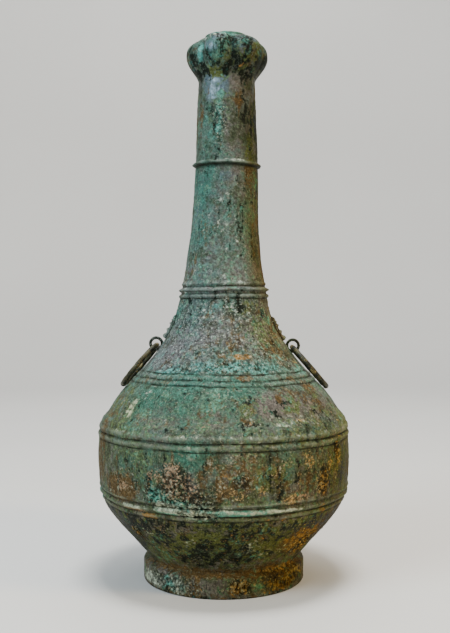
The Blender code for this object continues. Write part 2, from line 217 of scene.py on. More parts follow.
def station_slopes():
    """The curve's slope at each station: 0 where the wall turns back, or else a mean of both sides."""
    steps = [(r1 - r0) / (z1 - z0) for z0, z1, r0, r1 in zip(HEIGHTS, HEIGHTS[1:], RADII, RADII[1:])]
    slopes = [steps[0]]
    for before, after in zip(steps, steps[1:]):
        turning = before * after <= 0.0
        slopes.append(0.0 if turning else 2.0 * before * after / (before + after))
    return slopes + [steps[-1]]


SLOPES = station_slopes()


def wall_radius(z):
    """Radius of the plain wall at a height: a cubic between the two nearest stations."""
    span = min(max(bisect_right(HEIGHTS, z) - 1, 0), len(HEIGHTS) - 2)
    width = HEIGHTS[span + 1] - HEIGHTS[span]
    t = min(max((z - HEIGHTS[span]) / width, 0.0), 1.0)
    return (RADII[span] * (1 + 2 * t) * (1 - t) ** 2 + SLOPES[span] * width * t * (1 - t) ** 2
            + RADII[span + 1] * t * t * (3 - 2 * t) - SLOPES[span + 1] * width * t * t * (1 - t))


def wall_slope(z):
    """How fast the radius grows with height."""
    step = 0.3 * MM
    return (wall_radius(z + step) - wall_radius(z - step)) / (2 * step)


def band_relief(z):
    """How far ribs stand proud, and grooves lie back, at a height."""
    relief = 0.0
    for height, half_width, proud, bluntness in RIBS:
        share = abs(z / MM - height) / half_width
        if share < 1.0:
            relief += proud * MM * math.cos(0.5 * math.pi * share) ** (2.0 / bluntness)
    for height, half_width, depth in GROOVES:
        share = abs(z / MM - height) / half_width
        if share < 1.0:
            relief -= depth * MM * math.cos(0.5 * math.pi * share) ** 2
    return relief


for z in (18.5, 69.5, 97.0, 158.9, 222.9, 319.5):
    radius = wall_radius(z * MM) + band_relief(z * MM)
    print("at", z, "mm the outline's radius is", round(radius / MM, 1), "mm")

# %% [markdown]
# ## Rows of the outline
#
# The outline is one line: from the middle of the underside out and round the foot, up the outside, over
# the lip, and down the inside to the middle of the floor. It is cut into six lengths, each to be spun by
# itself. Spinning turns every point into a ring of faces. Plain wall needs only a point every two
# millimetres, but a rib or a groove needs several across it, or it breaks up. So the step shrinks near
# them.

# %% Heights of the rows
PLAIN_STEP = 2.3 * MM
NECK_STEP = 1.6 * MM
RIB_STEP = 0.8 * MM
GROOVE_STEP = 0.45 * MM


def row_step(z, plain_step):
    """The distance to the next row, shorter near a rib and shortest near a groove."""
    if any(abs(z / MM - height) < half_width + 0.25 for height, half_width, depth in GROOVES):
        return GROOVE_STEP
    if any(abs(z / MM - rib[0]) < rib[1] + 0.6 for rib in RIBS):
        return RIB_STEP
    return plain_step / math.sqrt(1.0 + wall_slope(z) ** 2)


def wall_rows(low, high, plain_step):
    """Points (radius, height) up the wall from low to high."""
    z, rows = low, []
    while z < high - GROOVE_STEP:
        rows.append((wall_radius(z) + band_relief(z), z))
        step = row_step(z, plain_step)
        while step > GROOVE_STEP and row_step(z + step, plain_step) < 0.7 * step:
            step *= 0.8
        z += step
    return rows


print("rows are from", GROOVE_STEP / MM, "to", PLAIN_STEP / MM, "mm apart")

# %% Foot and lower wall
FOOT_RADIUS = 62.2 * MM
FOOT_TOP = 15.5 * MM
FOOT_WALL = 4.0 * MM
UNDERSIDE = 14.5 * MM
# The groove at the foot of the neck where the lower wall ends and the neck begins.
WAIST = 220.7 * MM


def underside_rows():
    """The floor inside the foot, the foot's inner side and half of the edge that it stands on."""
    inner = FOOT_RADIUS - FOOT_WALL
    rows = [(inner * share, UNDERSIDE) for share in (0.0, 0.3, 0.6, 0.85)]
    rows += [(inner - 2.2 * MM, UNDERSIDE - 0.2 * MM), (inner - 0.8 * MM, UNDERSIDE - 0.8 * MM)]
    rows += [(inner, z * MM) for z in (12.0, 7.0, 2.0, 0.7)]
    return rows + [(inner + 0.3 * MM, 0.15 * MM), (inner + 0.9 * MM, 0.0), (inner + 1.9 * MM, 0.0)]


def lower_rows():
    """The outside of the foot with its rounded edges, then the wall up to the waist."""
    rows = [(FOOT_RADIUS - back * MM, z * MM) for back, z in ((1.1, 0.0), (0.4, 0.15), (0.1, 0.6))]
    rows += [(FOOT_RADIUS, z * MM) for z in (1.8, 3.9, 6.0, 8.1, 10.2, 12.3, 13.9)]
    rows += [(FOOT_RADIUS - 0.15 * MM, 14.9 * MM), (FOOT_RADIUS - 0.6 * MM, FOOT_TOP)]
    rows += [(FOOT_RADIUS - back * MM, z * MM) for back, z in ((2.2, 16.2), (3.8, 17.0), (4.7, 17.8))]
    return rows + wall_rows(18.8 * MM, WAIST, PLAIN_STEP)


print("the foot is", round(2 * FOOT_RADIUS / MM, 1), "mm across and", FOOT_TOP / MM, "mm high")

# %% Head and lip
HEAD_BASE = 384.0 * MM
HEAD_WIDEST = 403.5 * MM
HEAD_TOP = 416.5 * MM
VASE_TOP = cad_high.z
NECK_TOP_RADIUS = 22.2 * MM
HEAD_RADIUS = 31.7 * MM
LIP_RADIUS = 16.7 * MM
MOUTH_RADIUS = 13.5 * MM
# How square the cloves' shoulder is, and how many rows the head has below and above its widest place.
SHOULDER_POWER = 2.75
HEAD_ROWS = 16


def head_rows():
    """The head: a hollow curve out to its widest place, then a square shoulder in to the lip."""
    rows = []
    for i in range(HEAD_ROWS):
        z = HEAD_BASE + (HEAD_WIDEST - HEAD_BASE) * i / HEAD_ROWS
        share = (HEAD_WIDEST - z) / (HEAD_WIDEST - HEAD_BASE)
        bulge = max(math.cos(0.5 * math.pi * share), 0.0) ** 1.5
        rows.append((NECK_TOP_RADIUS + (HEAD_RADIUS - NECK_TOP_RADIUS) * bulge, z))
    for i in range(HEAD_ROWS + 1):
        share = math.sin(0.5 * math.pi * i / HEAD_ROWS)
        bulge = (1.0 - share ** SHOULDER_POWER) ** (1 / SHOULDER_POWER)
        radius = LIP_RADIUS + (HEAD_RADIUS - LIP_RADIUS) * bulge
        rows.append((radius, HEAD_WIDEST + (HEAD_TOP - HEAD_WIDEST) * share))
    return rows


def lip_rows():
    """The lip: a short collar with rounded edges, and the first few millimetres of the mouth."""
    rows = [(LIP_RADIUS, HEAD_TOP + z * MM) for z in (0.8, 1.7, 2.6)]
    rows += [(LIP_RADIUS - 0.15 * MM, VASE_TOP - 0.45 * MM), (LIP_RADIUS - 0.5 * MM, VASE_TOP - 0.1 * MM)]
    rows += [(LIP_RADIUS - 1.1 * MM, VASE_TOP), (MOUTH_RADIUS + 1.1 * MM, VASE_TOP)]
    rows += [(MOUTH_RADIUS + 0.4 * MM, VASE_TOP - 0.1 * MM), (MOUTH_RADIUS + 0.1 * MM, VASE_TOP - 0.5 * MM)]
    return rows + [(MOUTH_RADIUS, VASE_TOP - z * MM) for z in (1.4, 3.0, 4.5, 6.0)]


print("the mouth is", round(2 * MOUTH_RADIUS / MM, 1), "mm wide inside")

# %% Hollow
WALL = 2.5 * MM
FLOOR_TOP = 18.0 * MM
CLOVE_DEPTH = 4.2 * MM
# Heights of the rows inside the hollow, in millimetres.
HOLLOW_HEIGHTS = (366, 340, 310, 280, 250, 230, 215, 204, 194, 184, 173, 162, 150, 138, 127,
                  112, 97, 82, 68, 56, 45, 34, 26)


def hollow_rows():
    """Inside: a plain round hollow behind the cloves, then the wall's own shape down to the floor."""
    widest = HEAD_RADIUS - CLOVE_DEPTH - WALL
    bore = NECK_TOP_RADIUS - WALL
    rows = [(MOUTH_RADIUS + (widest - MOUTH_RADIUS) * math.sqrt(1 - share ** 2),
             HEAD_WIDEST + share * 10.5 * MM) for share in (0.9, 0.6, 0.25)]
    rows += [(widest, HEAD_WIDEST), (bore + 0.5 * (widest - bore), 394.0 * MM), (bore, HEAD_BASE)]
    for z in HOLLOW_HEIGHTS:
        height = z * MM
        rows.append((wall_radius(height) - WALL * math.sqrt(1.0 + wall_slope(height) ** 2), height))
    return rows + [(53.0 * MM, 20.0 * MM), (49.0 * MM, FLOOR_TOP), (25.0 * MM, FLOOR_TOP), (0.0, FLOOR_TOP)]


print("the wall is", WALL / MM, "mm thick")

# %% The six lengths
COLUMNS = {"underside": 180, "lower_wall": 270, "neck": 180, "head": 180, "lip": 180, "hollow": 60}
outlines = {
    "underside": underside_rows(),
    "lower_wall": lower_rows(),
    "neck": wall_rows(WAIST + GROOVE_STEP, HEAD_BASE - 0.5 * MM, NECK_STEP),
    "head": head_rows(),
    "lip": lip_rows(),
    "hollow": hollow_rows(),
}
for name, rows in outlines.items():
    print(name, "has", len(rows), "rows of", COLUMNS[name], "columns")

# %% [markdown]
# ## Drawing the outline and spinning it
#
# As by hand: a small plane is merged to a single vertex, that vertex is extruded along the outline, and
# the chain is spun once round the axis. The belly is four times as wide as the neck, so the outline is
# spun in lengths with their own number of steps. The inside, which hardly shows, gets the fewest.

# %% Spin the lengths
START_TURN = math.radians(1.0)


def spun(name, rows, columns):
    """One length of the outline, drawn by extruding a vertex and spun about the upright axis."""
    first_radius, first_height = rows[0]
    bpy.ops.mesh.primitive_plane_add(size=MM, location=(first_radius, 0.0, first_height))
    piece = apply_place(added(name))
    bpy.ops.object.mode_set(mode="EDIT")
    bpy.ops.mesh.select_mode(type="VERT")
    bpy.ops.mesh.select_all(action="SELECT")
    bpy.ops.mesh.merge(type="CENTER")
    for (r0, z0), (r1, z1) in zip(rows, rows[1:]):
        bpy.ops.mesh.extrude_region_move(TRANSFORM_OT_translate={"value": (r1 - r0, 0.0, z1 - z0)})
    bpy.ops.mesh.select_all(action="SELECT")
    bpy.ops.mesh.spin(steps=columns, angle=2 * math.pi, center=(0, 0, 0), axis=(0, 0, 1))
    bpy.ops.mesh.select_all(action="SELECT")
    bpy.ops.mesh.remove_doubles(threshold=0.02 * MM)
    # The columns are turned by a degree, so that one falls into each groove between the cloves.
    bpy.ops.transform.rotate(value=-START_TURN, orient_axis="Z", center_override=(0.0, 0.0, 0.0))
    bpy.ops.object.mode_set(mode="OBJECT")
    return piece


bpy.ops.object.select_all(action="DESELECT")
lengths = {name: spun(name, rows, COLUMNS[name]) for name, rows in outlines.items()}
print("spun", len(lengths), "lengths of wall")

# %% [markdown]
# ## The garlic head
#
# The mouth swells into a bulb of six cloves. Each clove is an arc seen from above, and neighbours meet
# in a groove. A round bulb could be pushed in by hand with proportional editing, six times over. Here
# every vertex of the head's length is moved by one rule instead, which keeps the grooves sharp. The mould
# was carved by eye, though, so the grooves are neither evenly spaced nor equally deep, and each clove has
# a swell and a height of its own.

# %% Cloves
# The grooves between the cloves: degrees from the front, and how deep each is beside a full groove.
CLOVE_EDGES = [7, 71, 127, 187, 247, 317]
EDGE_DEPTHS = [0.75, 0.40, 1.0, 1.0, 1.0, 0.95]
# Each clove from the right front onwards: how full it is, and how far its top is raised.
CLOVE_SWELL = [0.995, 1.01, 1.0, 0.985, 1.0, 1.03]
CLOVE_RAISE = [0.0, -2.0 * MM, 0.0, -1.0 * MM, -2.6 * MM, 1.4 * MM]
GROOVE_WIDEST = 5.0 * MM
GROOVE_TOP = 7.4 * MM


def clove_at(angle):
    """The clove at an angle, the angle from its middle, half its width, and its nearer groove's depth."""
    turn = (math.degrees(angle) - CLOVE_EDGES[0]) % 360.0
    starts = [edge - CLOVE_EDGES[0] for edge in CLOVE_EDGES] + [360.0]
    clove = bisect_right(starts[:-1], turn) - 1
    half = 0.5 * (starts[clove + 1] - starts[clove])
    across = turn - starts[clove] - half
    share = EDGE_DEPTHS[clove] if across < 0.0 else EDGE_DEPTHS[(clove + 1) % len(CLOVE_EDGES)]
    return clove, math.radians(across), math.radians(half), share


def lobed(radius, depth, across, half):
    """Radius at an angle across a clove: an arc whose centre is set out from the axis."""
    groove = radius - depth
    centre = (radius ** 2 - groove ** 2) / (2 * (radius - groove * math.cos(half))) if depth > 0 else 0.0
    reach = math.sqrt(max((radius - centre) ** 2 - (centre * math.sin(across)) ** 2, 0.0))
    return centre * math.cos(across) + reach


def groove_depth(radius, z):
    """How deep the grooves are: nothing at the neck and the lip, deepest where the cloves turn in."""
    if z <= HEAD_WIDEST:
        rise = max(z - HEAD_BASE, 0.0) / (HEAD_WIDEST - HEAD_BASE)
        return GROOVE_WIDEST * math.sin(0.5 * math.pi * rise) ** 0.8 * radius / HEAD_RADIUS
    rise = (z - HEAD_WIDEST) / (HEAD_TOP - HEAD_WIDEST)
    depth = GROOVE_WIDEST + (GROOVE_TOP - GROOVE_WIDEST) * min(2.0 * rise, 1.0)
    depth *= max(1.0 - rise ** 14, 0.0)
    return min(depth, 0.85 * max(radius - LIP_RADIUS, 0.0))


def shape_cloves(piece):
    """Draw the wall in at the grooves, swell each clove, and raise or lower its top."""
    points = points_of(piece)
    for point in points:
        x, y, z = point
        radius = math.hypot(x, y)
        clove, across, half, share = clove_at(math.atan2(x, -y))
        depth = groove_depth(radius, z)
        fullness = math.cos(math.pi * across / (2 * half)) * min(depth / GROOVE_WIDEST, 1.0)
        swell = 1.0 + (CLOVE_SWELL[clove] - 1.0) * fullness
        scale = lobed(radius, share * depth, across, half) * swell / radius
        above = max(z - HEAD_WIDEST, 0.0) / (HEAD_TOP - HEAD_WIDEST)
        point[:] = x * scale, y * scale, z + CLOVE_RAISE[clove] * fullness * above
    set_points(piece, points)


shape_cloves(lengths["head"])
head_width = lengths["head"].dimensions.x / MM
print("the head has", len(CLOVE_EDGES), "cloves and is", round(head_width, 1), "mm across")

# %% [markdown]
# ## One body
#
# The lengths are joined, and the open edges of neighbours are bridged. Where the numbers of columns
# differ the bridge fans out, so it is placed where it can't be seen: under the standing face, in a
# groove and inside the mouth.

# %% Join and bridge


def select_edge_row(mesh, length, row):
    """Select the ring of vertices that ends a length: its first or last row."""
    radius, height = outlines[length][row]
    for vertex in mesh.verts:
        x, y, z = vertex.co
        if abs(z - height) < 0.03 * MM and abs(math.hypot(x, y) - radius) < 0.03 * MM:
            vertex.select = True


body = join_all("vase_body_cast", list(lengths.values()))
names = list(outlines)
bpy.ops.object.mode_set(mode="EDIT")
bpy.ops.mesh.select_mode(type="VERT")
for lower, upper in zip(names, names[1:]):
    bpy.ops.mesh.select_all(action="DESELECT")
    mesh = bmesh.from_edit_mesh(body.data)
    select_edge_row(mesh, lower, -1)
    select_edge_row(mesh, upper, 0)
    mesh.select_flush(True)
    bmesh.update_edit_mesh(body.data)
    bpy.ops.mesh.bridge_edge_loops()
bpy.ops.mesh.select_all(action="SELECT")
bpy.ops.mesh.normals_make_consistent(inside=False)
bpy.ops.object.mode_set(mode="OBJECT")
print("the body has", len(body.data.vertices), "vertices and", triangles(body), "triangles")

# %% [markdown]
# ## Worn bands
#
# Nothing on the real vase is as even as a spun form. Ribs are worn down in one place and sharp in the
# next, grooves are half filled with crust, and the lines wander by a fraction of a millimetre. A few
# sine waves round the vase, with a chance phase each, give a value that changes slowly and meets itself
# behind. They scale the relief.

# %% Helpers for wear


def smooth(share):
    """0 up to 0, 1 from 1 on, and a soft step between them."""
    share = np.clip(share, 0.0, 1.0)
    return share * share * (3.0 - 2.0 * share)


def waves(angle, seed, counts):
    """A wavering value of about -1 to 1 round the vase, made of a sine for each count of waves."""
    phases = random.Random(seed)
    total = sum(np.sin(count * angle + phases.uniform(0.0, 2 * math.pi)) for count in counts)
    return total / math.sqrt(len(counts))


def relief_of(bands, z):
    """Total height of ribs, or depth of grooves, at each height."""
    total = np.zeros(len(z))
    for band in bands:
        share = np.clip(np.abs(z / MM - band[0]) / band[1], 0.0, 1.0)
        bluntness = band[3] if len(band) == 4 else 1.0
        total += band[2] * MM * np.cos(0.5 * np.pi * share) ** (2.0 / bluntness)
    return total


def groove_shade(z):
    """1 in the middle of each groove, fading to 0 at its edges."""
    return np.max([smooth(1.1 - np.abs(z / MM - height) / half_width)
                   for height, half_width, depth in GROOVES], axis=0)


def rib_crests(z):
    """1 on the crest of each rib, fading to 0 towards its sides."""
    return np.max([smooth(1.0 - 1.2 * np.abs(z / MM - rib[0]) / rib[1]) for rib in RIBS], axis=0)


def write_attribute(piece, name, values):
    """Store a number for every vertex on the mesh, under a name that a material can read."""
    attribute = piece.data.attributes.new(name, "FLOAT", "POINT")
    attribute.data.foreach_set("value", np.asarray(values, dtype=np.float32))


print("wear can be worked out at any height and angle")

# %% Mark crests and grooves
# The middle of the shoulder's double rib, which is worn nearly flat in places.
SHOULDER_BAND = 157.0 * MM
# How strong the painted shade in the grooves between the cloves is, and how wide it is.
CLOVE_GROOVE_SHADE = 0.55
CLOVE_GROOVE_SHADE_WIDTH = 1.8 * MM

points = points_of(body)
x, y, z = points.T.copy()
angle, radius = np.arctan2(x, -y), np.hypot(x, y)
walls = np.array([wall_radius(height) for height in z])
outer = (radius > walls - 1.2 * MM) & (z > FOOT_TOP) & (z < HEAD_BASE)
from_edges = [np.abs((np.degrees(angle) - edge + 180.0) % 360.0 - 180.0) for edge in CLOVE_EDGES]
cleft = np.radians(np.min(from_edges, axis=0)) * radius
in_head = smooth((z - HEAD_BASE) / (14 * MM)) * smooth((HEAD_TOP - z) / (2 * MM))
in_head *= radius > LIP_RADIUS + MM
# Painted shade in the grooves between the cloves.
clove_groove_shade = CLOVE_GROOVE_SHADE * in_head * smooth(1.0 - cleft / CLOVE_GROOVE_SHADE_WIDTH)
dull = 1.0 - 0.65 * smooth(2.0 - np.abs(z - SHOULDER_BAND) / (5.0 * MM))
write_attribute(body, "crest", rib_crests(z) * outer * dull)
write_attribute(body, "groove", np.maximum(groove_shade(z) * outer, clove_groove_shade))
print("crests and grooves are marked on", int(outer.sum()), "points of the outer wall")

# %% Wear the bands
# From this height up the bands are worn more evenly and run more level.
NECK_CALM = 190.0 * MM
# How far the bands wander up and down.
BAND_WANDER = 0.35 * MM

calm_neck = 1.0 - 0.6 * smooth((z - NECK_CALM) / (20 * MM))
worn_band = smooth(1.0 - np.abs(z - SHOULDER_BAND) / (9.0 * MM))
worn_band *= smooth(0.5 + 0.9 * waves(angle, 8, (1, 3, 4)))
rib_wear = 0.05 + 0.20 * waves(angle + z / (60 * MM), 3, (2, 5, 9, 17)) * calm_neck + 0.55 * worn_band
groove_fill = 0.12 + 0.30 * waves(angle + z / (25 * MM), 4, (3, 7, 13, 23)) + 0.6 * worn_band
rib_loss = relief_of(RIBS, z) * np.clip(rib_wear, -0.1, 0.8)
change = relief_of(GROOVES, z) * np.clip(groove_fill, 0.0, 0.9) - rib_loss
stretch = 1.0 + outer * change / np.maximum(radius, MM)
points[:, 0] *= stretch
points[:, 1] *= stretch
wander = smooth((z - 25 * MM) / (20 * MM)) * calm_neck
points[:, 2] += outer * BAND_WANDER * wander * waves(angle + z / (90 * MM), 5, (2, 3, 6, 11))
set_points(body, points)
kept = [round(1 - float(wear), 2) for wear in (rib_wear.max(), rib_wear.min())]
print("ribs keep from", kept[0], "to", kept[1], "of their height")

# %% [markdown]
# ## Lean and tilt
#
# The neck isn't quite upright, and its rings aren't quite level: the wax or clay model sagged before it
# was cast. A small sideways shift that grows up the neck, and a tilt that acts only near each ring,
# bring that back.

# %% Settle the neck
NECK_LEAN = 2.4 * MM
NECK_FOOT = 218.0 * MM
# Each tilted ring: height, how far up and down the tilt reaches, rise per unit of length towards +X.
TILTS = [(319.5 * MM, 9.0 * MM, -0.020), (222.0 * MM, 14.0 * MM, 0.014)]


def lean(z):
    """How far the axis has moved to the right at a height."""
    return NECK_LEAN * smooth((z - NECK_FOOT) / (0.7 * (HEAD_BASE - NECK_FOOT)))


def settle(points):
    """Tilt the rings on the neck, then lean the neck."""
    x, z = points[:, 0].copy(), points[:, 2].copy()
    for height, reach, rise in TILTS:
        points[:, 2] += x * rise * smooth(1.0 - np.abs(z - height) / reach)
    points[:, 0] += lean(z)
    return points


set_points(body, settle(points_of(body)))
print("the top of the neck leans", round(float(lean(HEAD_BASE)) / MM, 1), "mm to the right")

# %% [markdown]
# ## A map of the patina
#
# Buried bronze turns to a patchwork: brown-grey skin, thin blue-green stains, bright turquoise blooms,
# chalky pale crust, rust-coloured earth, moss-green film, black gloss. The map below says where each
# shows, in three ways. A wash is how much of a colour there is at each height, all round. A mark is one
# patch: its azimuth in degrees (0 is the front, growing to the right), its height, half
# its width and half its height in millimetres, and its strength. A weak mark on a strong wash thins it
# out. And the back, which no picture shows, gets marks from a seeded chance.
#
# Where marks overlap, the later one lies over the earlier. That is why the chance marks are put before
# the listed ones.

# %% Washes
# For each kind: pairs of a height in millimetres and how much cover there is, with even slopes between.
WASHES = {
    "teal": [
        (0, .22), (20, .15), (60, .12), (75, .28), (110, .36), (128, .42), (155, .46), (172, .3),
        (200, .26), (225, .34), (300, .42), (370, .25), (384, .24), (400, .35), (420, .6),
    ],
    "verdigris": [
        (0, .12), (60, .0), (68, .22), (80, .14), (150, .1), (166, .24), (180, .1), (300, .12),
        (384, .05), (414, .12), (420, .25),
    ],
    "pale": [
        (0, .2), (20, .05), (60, .0), (70, .22), (80, .1), (120, .2), (130, .04), (150, .04), (200, .2),
        (300, .16), (384, .0), (420, .12),
    ],
    "earth": [
        (0, .35), (20, .4), (30, .24), (62, .24), (90, .35), (120, .25), (150, .2), (200, .28),
        (230, .2), (330, .18), (380, .25), (388, .12), (420, .1),
    ],
    "rust": [
        (0, .28), (20, .24), (62, .12), (90, .16), (118, .0), (200, -.08), (420, -.15),
    ],
    "pink": [
        (0, .08), (60, .05), (90, .16), (125, .0), (200, -.08), (420, -.2),
    ],
    # Under the head and over the bowl the black is partly painted shade.
    "black": [
        (0, .2), (18, .3), (30, .42), (60, .5), (67, .14), (80, .2), (110, .22), (160, .15), (200, .2),
        (330, .2), (384, .32), (392, .5), (405, .38), (414, .22), (420, .12),
    ],
    "moss": [
        (0, .2), (18, .3), (30, .5), (60, .5), (75, .4), (115, .34), (140, .2), (200, .2), (330, .2),
        (384, .25), (420, .25),
    ],
    "mauve": [
        (0, .3), (60, .1), (100, .25), (150, .3), (200, .44), (260, .35), (380, .3), (388, .12),
        (420, .1),
    ],
    "steel": [
        (0, .0), (330, .05), (366, .2), (384, .3), (400, .25), (420, .1),
    ],
    # A golden earth stain that is partly painted warm light.
    "gold_stain_and_warm_light": [
        (0, .3), (20, .4), (60, .45), (75, .22), (110, .25), (124, .0), (420, .0),
    ],
    # A bluish bloom that is partly painted cool light.
    "bluish_bloom_and_cool_light": [
        (0, .0), (135, .0), (158, .3), (174, .75), (205, .8), (225, .7), (300, .6), (340, .2),
        (370, .0), (384, .2), (410, .4), (420, .2),
    ],
    "ochre": [
        (0, .12), (60, .1), (120, .08), (200, .06), (300, .0), (420, -.1),
    ],
    # Painted shade under the head.
    "painted_shade": [
        (0, .0), (68, .0), (380, .0), (388, .12), (412, .06), (420, .0),
    ],
    "crust": [
        (0, .2), (20, .1), (62, .1), (80, .2), (130, .15), (160, .3), (175, .42), (205, .42),
        (216, .25), (230, .15), (300, .1), (384, .0), (420, .05),
    ],
}
print("washes for", ", ".join(WASHES))

